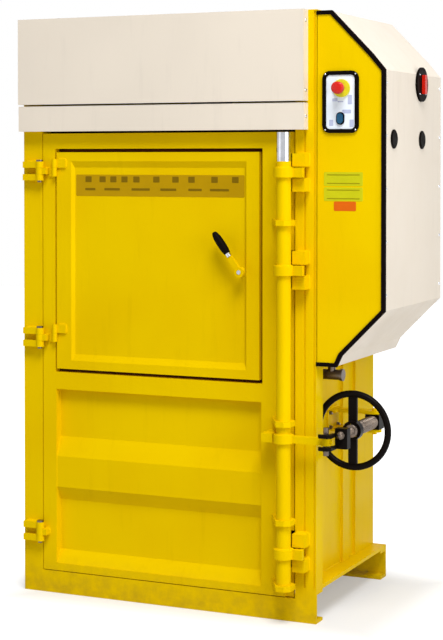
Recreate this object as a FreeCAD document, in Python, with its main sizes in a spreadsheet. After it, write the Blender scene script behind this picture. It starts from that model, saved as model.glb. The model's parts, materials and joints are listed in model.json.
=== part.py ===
"""Recycling baler: an upright press that squeezes card and film into a bale.

A steel body on two cross feet holds a pressing chamber. A full-height bale door closes the front, with a
feed door set in it. A vertical lock shaft on the bale door carries three hooks, which catch keepers on the
right-hand post, and a cross arm, which a handwheel and screw on the machine's side draw tight. The press
plate hangs on a three-stage telescopic cylinder behind the cover at the top, and a cabinet on the right
holds the power pack and the controls.

Frame: millimetres, +Z up, +X to the right of someone who faces the doors, +Y away from them. The origin
is on the floor, at the middle of the front edge of the front foot.
"""

import FreeCAD, Part
import math
import os
import re
from types import SimpleNamespace

import Sketcher
from FreeCAD import Placement, Rotation, Vector

doc = FreeCAD.newDocument("RecyclingBaler")

# ---------------------------------------------------------------- driving dimensions
SIZES = {
    # body
    "body_wide": (1100, "over the two front posts"),
    "body_deep": (700, "front of the posts to the rear wall"),
    "body_tall": (2000, "floor to roof"),
    "foot_deep": (60, "front to back of each cross foot"),
    "foot_tall": (104, "floor to the underside of the base plate"),
    "foot_skin": (10, "plate of the channel that each foot is"),
    "sill_tall": (76, "front foot below the bale door"),
    "floor_thick": (12, "base plate"),
    "notch_play": (2, "base plate to the back of the bale door"),
    "post_wide": (74, "front post"),
    "post_deep": (60, "front post"),
    "groove_in": (43, "inner groove of the lock post from the body's side"),
    "groove_out": (9, "its outer groove from the body's side"),
    "groove_wide": (6, "grooves of the lock post"),
    "groove_deep": (4, "grooves of the lock post"),
    "wall_inset": (60, "outer face of a side wall, in from the base's edge"),
    "wall_thick": (6, "side and rear wall plate"),
    "roof_thick": (4, "roof sheet"),
    "rib_wide": (60, "upright stiffener on a side wall"),
    "rib_proud": (10, "how far the stiffeners stand out"),
    "rib_skin": (3, "stiffener sheet"),
    "rib_front": (385, "front edge of the middle stiffener"),
    "rear_rib_wide": (190, "stiffener at the rear corner"),
    "belt_tall": (70, "level stiffener on the rear wall"),
    "belt_in": (20, "its ends in from the side walls"),
    "lintel_tall": (80, "beam between the posts, over the door"),
    "lintel_low": (1612, "underside of that beam"),
    # bale door
    "door_gap": (3, "running gap beside and under the bale door"),
    "lock_gap": (36, "gap between the bale door and the right-hand post"),
    "closer_gap": (6, "door's closing strip to the post"),
    "closer_back": (8, "closing strip behind the door's face"),
    "closer_thick": (6, "closing strip"),
    "closer_notch": (62, "notch in it above and below each hook"),
    "door_deep": (60, "thickness of the bale door"),
    "door_high": (1604, "top of the bale door"),
    "door_back": (6, "inner skin behind the lower panel"),
    "stile_left": (48, "hinge stile"),
    "stile_right": (80, "lock stile"),
    "top_rail": (53, "rail over the feed door"),
    "mid_rail_low": (714, "underside of the middle rail"),
    "mid_rail_high": (774, "top of the middle rail"),
    "bottom_rail": (26, "rail at the foot of the door"),
    "panel_skin": (6, "folded lower panel"),
    "panel_proud": (2, "ribs of the lower panel behind the door's face"),
    "panel_recess": (28, "recesses of the lower panel behind the door's face"),
    "fold_1": (546, "upper recess's lower edge"),
    "fold_2": (479, "rib's upper edge"),
    "fold_3": (372, "rib's lower edge"),
    "fold_4": (325, "lower recess's upper edge"),
    "fold_5": (150, "lower recess's lower edge"),
    "panel_side": (4, "lower panel's edges in from the feed opening's"),
    "strike_reach": (16, "strike slot into the lock stile"),
    "strike_top": (16, "strike slot above the latch spindle"),
    "strike_wall": (3, "metal before and behind the strike slot"),
    "hinge_radius": (14, "bale door hinge knuckle"),
    "hinge_pin": (8, "bale door hinge pin radius"),
    "hinge_proud": (18, "hinge axis in front of the door's face"),
    "hinge_lug": (64, "reach of a hinge lug from the axis"),
    "hinge_leaf": (28, "reach of a hinge leaf from the axis"),
    "hinge_tall": (66, "whole hinge"),
    "knuckle_gap": (0.4, "between two knuckles"),
    "strap_front": (8, "face of a hinge strap in front of the axis"),
    "strap_clear": (12, "seat of a hinge strap from the axis"),
    "pin_end": (6, "hinge pin below its knuckles, and the height of its head"),
    "pin_head": (4, "pin head beyond the pin"),
    "pin_play": (0.3, "radial clearance of a turning pin"),
    # feed door
    "landing": (20, "ledge round the feed opening"),
    "landing_deep": (19, "thickness of that ledge"),
    "seal_thick": (10.5, "rubber seal on the ledge"),
    "seat_gap": (0.5, "between the feed door's back and the seal"),
    "feed_gap": (12, "gap round the feed door"),
    "feed_hinge_gap": (6, "gap on its hinge side"),
    "feed_skin": (4, "feed door sheet"),
    "field_left": (58, "margin of the sunk field"),
    "field_side": (46, "margin on the handle side"),
    "field_top": (31, "margin at the top"),
    "field_low": (30, "margin at the bottom"),
    "field_deep": (10, "sunk field behind the door's face"),
    "field_run": (10, "its sloping sides, across"),
    "field_fall": (22, "its sloping top and bottom, up and down"),
    "feed_knuckle": (9, "feed hinge knuckle radius"),
    "feed_pin": (4, "feed hinge pin radius"),
    "feed_hinge_tall": (60, "whole feed hinge"),
    "feed_post": (22, "reach of its fixed half from the axis"),
    "feed_leaf": (42, "reach of its turning half from the axis"),
    "feed_stand": (1, "feed hinge knuckle in front of the door's face"),
    "feed_strap_in": (3, "feed hinge strap behind the axis"),
    "feed_strap": (4, "feed hinge strap"),
    "feed_pad": (10, "pad of a feed hinge from the axis"),
    "feed_pin_short": (6, "pin below the top of the feed hinge"),
    "feed_lift": (0.5, "between the halves of a feed hinge"),
    "stay_left": (-240, "left stay behind the feed door"),
    "stay_right": (60, "right stay behind the feed door"),
    "stay_wide": (30, "stays behind the feed door"),
    "stay_back": (4, "stays in front of the feed door's back"),
    # feed latch
    "latch_edge": (68, "latch spindle from the feed opening's edge"),
    "latch_rise": (369, "latch spindle above the middle rail"),
    "latch_spindle_radius": (7, "spindle"),
    "latch_hub_radius": (17, "hub of the lever"),
    "latch_stand": (32, "lever in front of the door's face"),
    "latch_long": (161, "spindle to the grip's tip"),
    "latch_lean": (36, "lever from upright, degrees"),
    "hub_front": (8, "front of the lever's hub before the lever"),
    "hub_deep": (18, "lever's hub"),
    "lever_foot": (11, "half the lever's width at its hub"),
    "lever_head": (8, "half its width at the ferrule"),
    "lever_half": (5, "half its thickness"),
    "lever_long": (62, "spindle to the ferrule"),
    "ferrule_long": (13, "ferrule"),
    "ferrule_radius": (9, "ferrule"),
    "grip_foot": (10, "grip radius at the ferrule"),
    "grip_radius": (14, "grip at its thickest"),
    "grip_tip": (8, "grip radius at its rounded end"),
    "tongue_long": (80, "latch tongue from the spindle"),
    "tongue_rest": (58, "tongue below level, degrees"),
    "tongue_half": (9, "half the latch tongue's width"),
    "tongue_point": (12, "pointed end of the tongue"),
    "tongue_play": (1.5, "tongue to the walls of the strike slot"),
    # lock shaft
    "lock_over": (20, "shaft axis beyond the door's edge"),
    "lock_proud": (60, "shaft axis in front of the door's face"),
    "lock_radius": (24, "lock shaft"),
    "lock_low": (136, "underside of the shaft"),
    "journal_low": (1508, "foot of the plated journal"),
    "lock_high": (1602, "top of the journal"),
    "hook_thick": (32, "hook plate"),
    "hook_hub": (33, "hook boss radius"),
    "hook_inner": (57, "inside of the hook's curl from the shaft axis"),
    "hook_outer": (67, "outside of the curl"),
    "hook_from": (49, "tip of the curl from straight back, degrees"),
    "hook_to": (96, "heel of the hook, degrees"),
    "hook_neck": (74, "where the neck joins the curl, degrees"),
    "keeper_pin": (8, "keeper pin radius"),
    "keeper_bolt": (47.4, "keeper pin from the shaft axis"),
    "keeper_angle": (46, "keeper pin from straight back, degrees"),
    "keeper_wide": (44, "keeper block"),
    "keeper_deep": (42, "keeper block"),
    "keeper_tall": (43, "each half of a keeper"),
    "keeper_gap": (38, "slot for the hook"),
    "keeper_skin": (4, "metal round the keeper pin"),
    "bearing_thick": (18, "bearing lug"),
    "bearing_foot": (66, "foot of a bearing lug, left of the shaft axis"),
    "bearing_rise": (22, "where the lug leaves the door, left of the axis"),
    "bearing_right": (32, "lug right of the axis"),
    "bearing_waist": (20, "front of its right side before the axis"),
    "bearing_nose": (34, "lug in front of the axis"),
    "bearing_flat": (14, "half its front face"),
    "stop_lug": (40, "lug beside the shaft, level with the cross arm"),
    "stop_tall": (29, "that lug, and the arm's boss"),
    "stop_gap": (3, "that lug to the arm's boss"),
    "shaft_play": (0.4, "radial clearance of the lock shaft"),
    "arm_level": (610, "cross arm"),
    "arm_tall": (24, "cross arm"),
    "arm_deep": (16, "cross arm"),
    "arm_reach": (140, "full section of the arm from the shaft axis"),
    "tongue_reach": (168, "tip of the arm's tongue"),
    "tongue_tall": (12, "tongue"),
    "tongue_end": (6, "narrow end of the arm's tongue"),
    "tongue_step": (3, "narrow end in from the arm's faces"),
    "catch_reach": (147, "catch pin from the shaft axis"),
    "catch_radius": (9, "catch pin"),
    "catch_lug": (7, "metal round the catch pin"),
    "catch_half": (45, "catch pin above and below the arm"),
    # handwheel and screw
    "draw_out": (96, "screw axis beyond the body's side"),
    "draw_back": (297, "swing pin behind the front"),
    "draw_level": (628, "screw axis"),
    "wheel_back": (85, "wheel's plane behind the front"),
    "wheel_radius": (120, "middle of the rim"),
    "rim_radius": (11, "rim section"),
    "spoke_wide": (30, "spoke bar"),
    "spoke_thick": (10, "spoke bar"),
    "wheel_hub": (32, "wheel hub radius"),
    "wheel_hub_deep": (28, "wheel hub"),
    "sleeve_radius": (23, "threaded sleeve"),
    "sleeve_front": (19, "sleeve in front of the wheel's plane"),
    "sleeve_back": (4, "sleeve's end to the swing block"),
    "sleeve_bore": (195, "depth of the sleeve's bore"),
    "journal": (12, "journal in the swing block"),
    "journal_deep": (10, "journal in the swing block"),
    "swing_pin": (8, "swing pin radius"),
    "screw_radius": (11, "draw screw"),
    "screw_long": (251, "draw screw"),
    "screw_proud": (1, "screw before the nut's seat"),
    "boss_deep": (30, "boss that the screw passes"),
    "boss_left": (20, "boss left of the screw's axis"),
    "boss_right": (22, "boss right of it and above it"),
    "nut_flat": (12, "hexagon nut, half across its flats"),
    "nut_tall": (8, "hexagon nut"),
    "block_half": (25, "half the swing block"),
    "ear_thick": (10, "bracket ear"),
    "ear_play": (1, "between an ear and the swing block"),
    "ear_half": (24, "half an ear's width"),
    "gusset_out": (30, "gusset of an ear"),
    "gusset_half": (40, "half the gusset's width"),
    "bracket_thick": (8, "bracket's back plate"),
    "bracket_half": (50, "half its width"),
    "bracket_over": (6, "back plate above and below the ears"),
    "pin_over": (8, "swing pin beyond the ears"),
    "prong_thick": (12, "draw hook plate"),
    "prong_gap": (28, "between the two plates"),
    "nose_back": (-79, "back of the hook's nose"),
    "nose_reach": (56, "tip of the nose from the screw's axis"),
    "nose_thick": (13, "hook's nose, front to back"),
    "nose_ease": (5, "eased corners of the nose"),
    "shank_ease": (10, "eased corners of the hook's shank"),
    "shank_in": (6, "shank left of the boss"),
    "shank_over": (1, "shank beyond the nut's flats"),
    "bore_over": (10, "screw's bore past the boss"),
    # chamber and press plate
    "bar_tall": (20, "floor bars"),
    "slot_wide": (30, "strap channel"),
    "slot_inner": (120, "inner strap channels from the middle"),
    "slot_outer": (360, "outer strap channels"),
    "bar_play": (4, "floor bars to the chamber's walls"),
    "plate_low": (1556, "underside of the press plate at rest"),
    "plate_thick": (15, "press plate"),
    "plate_play": (6, "press plate to the chamber's walls"),
    "rib_tall": (110, "press plate ribs"),
    "plate_rib": (10, "press plate rib sheet"),
    "shoe_play": (0.4, "guide shoe to the wall"),
    "shoe_wide": (60, "guide shoe"),
    "rib_apart": (120, "cylinder axis to the ribs beside it"),
    "rib_side": (240, "middle of the plate to its lengthwise ribs"),
    "pad_half": (100, "half the pad between the inner channels"),
    "barrel_radius": (75, "cylinder barrel"),
    "collar_out": (8, "collar at the barrel's mouth"),
    "collar_tall": (30, "collar at the barrel's mouth"),
    "stage_wall": (9, "wall of each cylinder stage"),
    "stage_play": (0.5, "radial clearance between stages"),
    "stage_end": (14, "closed top of the barrel and of each stage"),
    "stage_drop": (28, "top of each stage below the one outside it"),
    "stage_step": (4, "mouth of each stage below the one outside it"),
    "cylinder_back": (28, "cylinder axis behind the middle of the body"),
    "flange_half": (125, "half the cylinder flange"),
    "beam_apart": (80, "cylinder axis to the near side of a beam"),
    "foot_radius": (90, "pad at the foot of the cylinder"),
    "barrel_low": (1600, "mouth of the barrel"),
    "beam_low": (1860, "cylinder beams"),
    "beam_tall": (110, "cylinder beams"),
    "beam_wide": (50, "cylinder beams"),
    "flange_thick": (20, "cylinder flange"),
    # cover
    "cover_proud": (40, "top cover in front of the posts"),
    "strip_proud": (36, "lower strip in front of the posts"),
    "cover_right": (30, "cover's end in from the body's side"),
    "cover_skin": (3, "cover sheet"),
    "cover_low": (1704, "underside of the top cover"),
    "strip_low": (1611, "underside of the strip"),
    "joint_gap": (6, "dark joint between cover and strip"),
    # side cabinet
    "cab_wide": (232, "cabinet beyond the body's side"),
    "cab_deep": (602, "cabinet, front to back"),
    "cab_low": (846, "underside"),
    "cab_top": (1992, "top"),
    "cab_skin": (3, "cabinet sheet"),
    "cab_plate": (4, "front plate"),
    "cab_seam": (3, "open joint between the front plate and the post"),
    "trim_wide": (10, "rubber edging on the plate's face"),
    "trim_thick": (4, "rubber edging"),
    "trim_wrap": (3, "rubber edging outside the plate's edge"),
    "trim_back": (9, "rubber edging along the side, behind the front"),
    "cab_shoulder": (52, "flat top beyond the body's side"),
    "cab_slope_out": (188, "foot of the sloping shoulder beyond the body's side"),
    "cab_slope_low": (1852, "foot of the sloping shoulder"),
    "cab_side_top": (1800, "top of the upright side"),
    "cab_side_low": (1029, "foot of the upright side"),
    "cab_heel_out": (86, "foot of the lower slope beyond the body's side"),
    "cab_heel_low": (882, "foot of the lower slope"),
    "cab_flat_out": (69, "level underside beyond the body's side"),
    "tank_wide": (240, "oil tank, out from the side wall"),
    "tank_front": (250, "oil tank behind the front"),
    "tank_deep": (310, "oil tank"),
    "tank_low": (1050, "oil tank"),
    "tank_tall": (240, "oil tank"),
    "tank_rim": (8, "rim of the oil tank"),
    "tank_rim_tall": (6, "rim of the oil tank"),
    "motor_radius": (72, "electric motor"),
    "motor_tall": (190, "electric motor"),
    "motor_in": (100, "motor axis in from the tank's far corner"),
    "flange_out": (13, "motor flange beyond the motor"),
    "flange_tall": (14, "motor flange"),
    "hood_in": (12, "fan hood's taper"),
    "hood_tall": (34, "fan hood"),
    "valve_front": (20, "valve block behind the tank's front"),
    "valve_deep": (80, "valve block"),
    "valve_half": (50, "half the valve block"),
    "valve_tall": (90, "valve block"),
    "coil_radius": (20, "valve coil"),
    "coil_long": (48, "valve coil"),
    "coil_up": (60, "valve coil above the tank's rim"),
    "relief_radius": (22, "relief valve"),
    "relief_tall": (40, "relief valve"),
    # controls
    "panel_left": (35, "control panel from the body's side"),
    "panel_wide": (98, "control panel"),
    "panel_low": (1612, "control panel"),
    "panel_tall": (174, "control panel"),
    "panel_thick": (4, "control panel"),
    "bezel_wide": (13, "bezel round it"),
    "bezel_proud": (7, "bezel"),
    "bezel_round": (26, "outer corners of the bezel"),
    "window_round": (13, "inner corners of the bezel"),
    "stop_in": (53, "stop button from the panel's left edge"),
    "stop_level": (1743, "stop button"),
    "stop_radius": (20, "mushroom head"),
    "collar_radius": (29, "stop button's collar"),
    "collar_thick": (6, "stop button's collar"),
    "stop_out": (30, "back of the mushroom head in front of the panel"),
    "stop_deep": (14, "mushroom head"),
    "stop_stem": (11, "stop button's stem radius"),
    "crown_in": (8, "taper of the head's crown"),
    "crown_deep": (5, "head's crown"),
    "stem_short": (5.5, "stem's end in front of the panel"),
    "start_in": (49, "start button from the panel's left edge"),
    "start_level": (1646, "start button"),
    "start_radius": (10, "ends of the long start button"),
    "start_half": (6.5, "half its straight sides"),
    "start_ring": (4, "ring round the start button"),
    "ring_thick": (4, "ring round the start button"),
    "start_out": (9, "start button's face in front of the panel"),
    "start_deep": (5.5, "start button"),
    "switch_back": (373, "main switch behind the front"),
    "switch_level": (1767, "main switch"),
    "switch_radius": (58, "main switch rose"),
    "rose_thick": (8, "main switch rose"),
    "well_deep": (5, "well of the switch's shank"),
    "shank_radius": (10, "switch's shank"),
    "shank_lift": (0.5, "shank above the well's floor"),
    "knob_out": (20, "face of the switch's handle beyond the cabinet"),
    "cap_radius": (31, "round caps on the cabinet's side"),
    "cap_thick": (3, "rim of a cap, and its crown"),
    "cap_ease": (5, "taper of its crown"),
    "cap_level": (1580, "round caps"),
    "cap_front": (89, "front cap"),
    "cap_rear": (384, "rear cap"),
    "knob_long": (32, "half the main switch's handle"),
    "knob_half": (11, "half its width"),
    "fitting_out": (12, "oil fitting's neck beyond the body's side"),
    "fitting_back": (110, "oil fitting behind the front"),
    "fitting_drop": (42, "oil fitting's axis below the cabinet"),
    "fitting_neck": (13, "its neck"),
    "fitting_radius": (17, "its body"),
    "fitting_left": (32, "its body left of the neck"),
    "fitting_right": (32, "its body right of the neck"),
    "fitting_collar": (20, "its collar"),
    "fitting_ring": (9, "its collar"),
}

HOOK_LEVELS = (236, 1155, 1472)
HINGE_LEVELS = (214, 894, 1474)
FEED_HINGE_LEVELS = (910, 1485)
BEARING_LEVELS = (330, 650, 1300)
BELT_LEVELS = (400, 900, 1400)

sheet = doc.addObject("Spreadsheet::Sheet", "Sizes")
for row, (alias, (value, note)) in enumerate(SIZES.items(), start=1):
    sheet.set(f"A{row}", note)
    sheet.set(f"B{row}", str(value))
    sheet.setAlias(f"B{row}", alias)
doc.recompute()
s = SimpleNamespace(**{alias: float(sheet.get(alias)) for alias in SIZES})

# Places that several pieces share, as expressions on the sheet.
SIDE = "(body_wide / 2)"
WALL_OUT = "(body_wide / 2 - wall_inset)"
WALL_IN = "(body_wide / 2 - wall_inset - wall_thick)"
POST_IN = "(body_wide / 2 - post_wide)"
FLOOR = "(foot_tall + floor_thick)"
UNDER_ROOF = "(body_tall - roof_thick)"
DOOR_LEFT = f"(door_gap - {POST_IN})"
DOOR_RIGHT = f"({POST_IN} - lock_gap)"
DOOR_LOW = "(sill_tall + door_gap)"
FEED_L = f"({DOOR_LEFT} + stile_left)"
FEED_R = f"({DOOR_RIGHT} - stile_right)"
FEED_TOP = "(door_high - top_rail)"
LEAF_L = f"({FEED_L} + feed_hinge_gap)"
LEAF_R = f"({FEED_R} - feed_gap)"
LEAF_LOW = "(mid_rail_high + feed_gap)"
LEAF_TOP = f"({FEED_TOP} - feed_gap)"
LANDING_Y = "(door_deep - landing_deep)"
LEAF_BACK = f"({LANDING_Y} - seal_thick - seat_gap)"
HINGE_X = f"(-{POST_IN})"
LATCH_X = f"({FEED_R} - latch_edge)"
LATCH_Z = "(mid_rail_high + latch_rise)"
LOCK_X = f"({DOOR_RIGHT} + lock_over)"
DRAW_X = f"({SIDE} + draw_out)"
CYL_Y = "(body_deep / 2 + cylinder_back)"
CAB_X = f"({SIDE} + cab_wide)"
PANEL_L = f"({SIDE} + panel_left)"
PANEL_R = f"({SIDE} + panel_left + panel_wide)"

WORDS = re.compile(r"[a-z_][a-z_0-9]*")
FUNCTIONS = {"sin", "cos", "deg"}


def on_sheet(expression):
    """Turns each plain name in an expression into a reference to the spreadsheet."""

    def name(match):
        word = match.group(0)
        return word if word in FUNCTIONS else "Sizes." + word

    return WORDS.sub(name, str(expression))


def bind(obj, prop, expression):
    obj.setExpression(prop, on_sheet(expression))


def place(obj, x, y, z):
    for axis, expression in zip("xyz", (x, y, z)):
        bind(obj, f"Placement.Base.{axis}", expression)


# ---------------------------------------------------------------- small builders
def block(x, y, z, name="Block"):
    """A box between two expressions along each axis."""
    obj = doc.addObject("Part::Box", name)
    for prop, (low, high) in zip(("Length", "Width", "Height"), (x, y, z)):
        bind(obj, prop, f"({high}) - ({low})")
    place(obj, x[0], y[0], z[0])
    return obj


TURNS = {"X": Rotation(Vector(0, 1, 0), 90), "Y": Rotation(Vector(1, 0, 0), -90), "Z": Rotation()}


def rod(axis, start, radius, length, name="Rod"):
    """A cylinder that starts at a point and runs along +X, +Y or +Z."""
    obj = doc.addObject("Part::Cylinder", name)
    obj.Placement = Placement(Vector(), TURNS[axis])
    bind(obj, "Radius", radius)
    bind(obj, "Height", length)
    place(obj, *start)
    return obj


def cone(axis, start, radius_low, radius_high, length):
    obj = doc.addObject("Part::Cone", "Cone")
    obj.Placement = Placement(Vector(), TURNS[axis])
    bind(obj, "Radius1", radius_low)
    bind(obj, "Radius2", radius_high)
    bind(obj, "Height", length)
    place(obj, *start)
    return obj


def fuse(*shapes):
    obj = doc.addObject("Part::MultiFuse", "Fuse")
    obj.Shapes = list(shapes)
    obj.Refine = True
    return obj


def cut(base, *tools):
    obj = doc.addObject("Part::Cut", "Cut")
    obj.Base = base
    obj.Tool = tools[0] if len(tools) == 1 else fuse(*tools)
    return obj


def group(*shapes):
    obj = doc.addObject("Part::Compound", "Group")
    obj.Links = list(shapes)
    return obj


PLANES = {"XY": "XY_Plane", "XZ": "XZ_Plane", "YZ": "YZ_Plane"}


def new_sketch(body, plane, offset, name="Outline"):
    sketch = body.newObject("Sketcher::SketchObject", name)
    origin = next(o for o in body.Origin.OriginFeatures if o.Role == PLANES[plane])
    sketch.AttachmentSupport = [(origin, "")]
    sketch.MapMode = "FlatFace"
    bind(sketch, "AttachmentOffset.Base.z", offset)
    return sketch


def draw_outline(sketch, points):
    """Closes straight lines through points, each pinned to its two expressions."""
    seeds = [Vector(10.0 * i, 5.0 * (i % 3), 0) for i in range(len(points))]
    for i, seed in enumerate(seeds):
        sketch.addGeometry(Part.LineSegment(seed, seeds[(i + 1) % len(seeds)]), False)
    for i in range(len(points)):
        sketch.addConstraint(Sketcher.Constraint("Coincident", i, 2, (i + 1) % len(points), 1))
    for i, (u, v) in enumerate(points):
        for kind, expression in (("DistanceX", u), ("DistanceY", v)):
            number = sketch.addConstraint(Sketcher.Constraint(kind, -1, 1, i, 1, 10.0))
            sketch.setExpression(f"Constraints[{number}]", on_sheet(expression))


def prism(plane, points, low, high, name="Body"):
    """A padded outline. XY runs up in Z, YZ runs along X, and XZ is padded towards the front, from high."""
    body = doc.addObject("PartDesign::Body", name)
    offset = f"-({high})" if plane == "XZ" else low
    sketch = new_sketch(body, plane, offset)
    draw_outline(sketch, points)
    pad = body.newObject("PartDesign::Pad", "Pad")
    pad.Profile = sketch
    bind(pad, "Length", f"({high}) - ({low})")
    body.Tip = pad
    return body


def turned(plane, points, angle=360.0, name="Body"):
    """A revolved outline about the sketch's upright axis, which is Z on XZ and YZ."""
    body = doc.addObject("PartDesign::Body", name)
    sketch = new_sketch(body, plane, "0")
    draw_outline(sketch, points)
    spin = body.newObject("PartDesign::Revolution", "Revolution")
    spin.Profile = sketch
    spin.ReferenceAxis = (sketch, ["V_Axis"])
    spin.Angle = angle
    body.Tip = spin
    return body


def moved(obj, base, rotation=Rotation()):
    """Places a finished piece: base is three expressions, the rotation is about its own origin."""
    obj.Placement = Placement(Vector(), rotation)
    place(obj, *base)
    return obj


NODES = []


def node(label, obj):
    """Names a finished piece. Its label is the name of the file it is written to."""
    obj.Label = label
    NODES.append(obj)
    return obj


def plain(label, shape):
    """A piece whose shape is worked out here from the sheet's values."""
    obj = doc.addObject("Part::Feature", "Shape")
    obj.Shape = shape
    return node(label, obj)


# ---------------------------------------------------------------- base and body
def base():
    """Front foot with its low sill, rear foot, both channels open towards each other, and the base plate."""
    profile = [
        (f"-{SIDE}", "0"), (SIDE, "0"), (SIDE, "foot_tall"), (POST_IN, "foot_tall"),
        (POST_IN, "sill_tall"), (f"-{POST_IN}", "sill_tall"), (f"-{POST_IN}", "foot_tall"),
        (f"-{SIDE}", "foot_tall"),
    ]  # fmt: skip
    end, inner_y = f"({SIDE} + 1)", ("foot_skin", "foot_deep + 1")
    hollows = [block((f"-{end}", end), inner_y, ("foot_skin", "sill_tall - foot_skin"))]
    for x in ((f"{POST_IN} + foot_skin", end), (f"-{end}", f"-{POST_IN} - foot_skin")):
        hollows.append(block(x, inner_y, ("foot_skin", "foot_tall - foot_skin")))
    node("front_foot", cut(prism("XZ", profile, "0", "foot_deep"), *hollows))
    whole = block((f"-{SIDE}", SIDE), ("body_deep - foot_deep", "body_deep"), ("0", "foot_tall"))
    inner_y = ("body_deep - foot_deep - 1", "body_deep - foot_skin")
    hollow = block((f"-{end}", end), inner_y, ("foot_skin", "foot_tall - foot_skin"))
    node("rear_foot", cut(whole, hollow))
    plate = block((f"-{SIDE}", SIDE), ("0", "body_deep"), ("foot_tall", FLOOR))
    notch_y, notch_z = ("-1", "door_deep + notch_play"), ("foot_tall - 1", f"{FLOOR} + 1")
    notch = block((f"-{POST_IN}", POST_IN), notch_y, notch_z)
    node("base_plate", cut(plate, notch))


def body():
    """Front posts, side walls, rear wall, roof, and the stiffeners folded from sheet."""
    for side, sign in (("left", -1), ("right", 1)):
        post = (POST_IN, SIDE) if sign > 0 else (f"-{SIDE}", f"-{POST_IN}")
        wall = (WALL_IN, WALL_OUT) if sign > 0 else (f"-{WALL_OUT}", f"-{WALL_IN}")
        post = block(post, ("0", "post_deep"), (FLOOR, UNDER_ROOF))
        node(f"front_post_{side}", cut(post, *grooves()) if sign > 0 else post)
        node(f"side_wall_{side}", block(wall, ("post_deep", "body_deep"), (FLOOR, UNDER_ROOF)))
    rear = ("body_deep - wall_thick", "body_deep")
    node("rear_wall", block((f"-{WALL_IN}", WALL_IN), rear, (FLOOR, UNDER_ROOF)))
    node("roof", block((f"-{SIDE}", SIDE), ("0", "body_deep"), (UNDER_ROOF, "body_tall")))
    spans = (("rib_front", "rib_front + rib_wide"), ("body_deep - rear_rib_wide", "body_deep"))
    tops = {-1: UNDER_ROOF, 1: "cab_low - cab_skin"}
    ribs = [channel(sign, y, (FLOOR, tops[sign])) for sign in (-1, 1) for y in spans]
    ribs += [belt(f"{level}") for level in BELT_LEVELS]
    node("body_ribs", group(*ribs))
    beam = block((f"-{POST_IN}", POST_IN), ("0", "post_deep"), ("lintel_low", "lintel_low + lintel_tall"))
    node("lintel", beam)


def grooves():
    """The two grooves beside the raised band of the lock post, where its plates meet."""
    for place_in in ("groove_in", "groove_out"):
        start = f"({SIDE} - {place_in})"
        yield block((start, f"{start} + groove_wide"), ("-1", "groove_deep"), (f"{FLOOR} - 1", "body_tall"))


def channel(sign, y, z):
    """An upright channel of folded sheet, its open side against a side wall."""
    near, far = WALL_OUT, f"({WALL_OUT} + rib_proud)"
    inside = f"({far} - rib_skin)"
    x = (near, far) if sign > 0 else (f"-{far}", f"-{near}")
    x_in = (f"{near} - 1", inside) if sign > 0 else (f"-{inside}", f"1 - {near}")
    hollow = block(x_in, (f"{y[0]} + rib_skin", f"{y[1]} - rib_skin"), (f"{z[0]} - 1", f"{z[1]} + 1"))
    return cut(block(x, y, z), hollow)


def belt(low):
    """A level channel across the rear wall."""
    end, z = f"({WALL_IN} - belt_in)", (low, f"{low} + belt_tall")
    outer = block((f"-{end}", end), ("body_deep", "body_deep + rib_proud"), z)
    inner = block(
        (f"rib_skin - {end}", f"{end} - rib_skin"),
        ("body_deep - 1", "body_deep + rib_proud - rib_skin"),
        (f"{z[0]} + rib_skin", f"{z[1]} - rib_skin"),
    )
    return cut(outer, inner)


# ---------------------------------------------------------------- chamber and press
SLOTS = ("-slot_outer", "-slot_inner", "slot_inner", "slot_outer")


def plank_edges(low, high):
    """The spans between the strap channels, from low to high."""
    edges = [low]
    for slot in SLOTS:
        edges += [f"{slot} - slot_wide / 2", f"{slot} + slot_wide / 2"]
    edges.append(high)
    return list(zip(edges[::2], edges[1::2]))


def chamber():
    """Bars welded to the floor, with channels between them for the bale's straps."""
    y = ("door_deep + bar_play", "body_deep - wall_thick - bar_play")
    spans = plank_edges(f"-{WALL_IN} + bar_play", f"{WALL_IN} - bar_play")
    node("floor_bars", group(*[block(span, y, (FLOOR, f"{FLOOR} + bar_tall")) for span in spans]))


def press_plate():
    """The plate's planks leave strap channels, ribs stand on it, and shoes at its ends follow the walls."""
    edge = f"({WALL_IN} - plate_play)"
    y = ("door_deep + plate_play", "body_deep - wall_thick - plate_play")
    top = "(plate_low + plate_thick)"
    z = (f"{top} - 1", f"{top} + rib_tall")
    parts = [block(span, y, ("plate_low", top)) for span in plank_edges(f"-{edge}", edge)]
    across = (y[0], f"{y[1]} - plate_rib", f"{CYL_Y} - rib_apart - plate_rib", f"{CYL_Y} + rib_apart")
    for start in across:
        parts.append(block((f"-{edge}", edge), (start, f"{start} + plate_rib"), z))
    for x in (f"-{edge}", "-rib_side - plate_rib", "rib_side", f"{edge} - plate_rib"):
        parts.append(block((x, f"{x} + plate_rib"), y, z))
    seat = (f"{CYL_Y} - rib_apart - 1", f"{CYL_Y} + rib_apart + 1")
    parts.append(block(("-pad_half", "pad_half"), seat, (f"{top} - 5", top)))
    for y_shoe in (f"{y[0]} + 20", f"{y[1]} - 20 - shoe_wide"):
        for sign in (-1, 1):
            far = f"({WALL_IN} - shoe_play)"
            x = (f"{edge} - 1", far) if sign > 0 else (f"-{far}", f"1 - {edge}")
            parts.append(block(x, (y_shoe, f"{y_shoe} + shoe_wide"), ("plate_low + 4", z[1])))
    node("press_plate", fuse(*parts))


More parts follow.
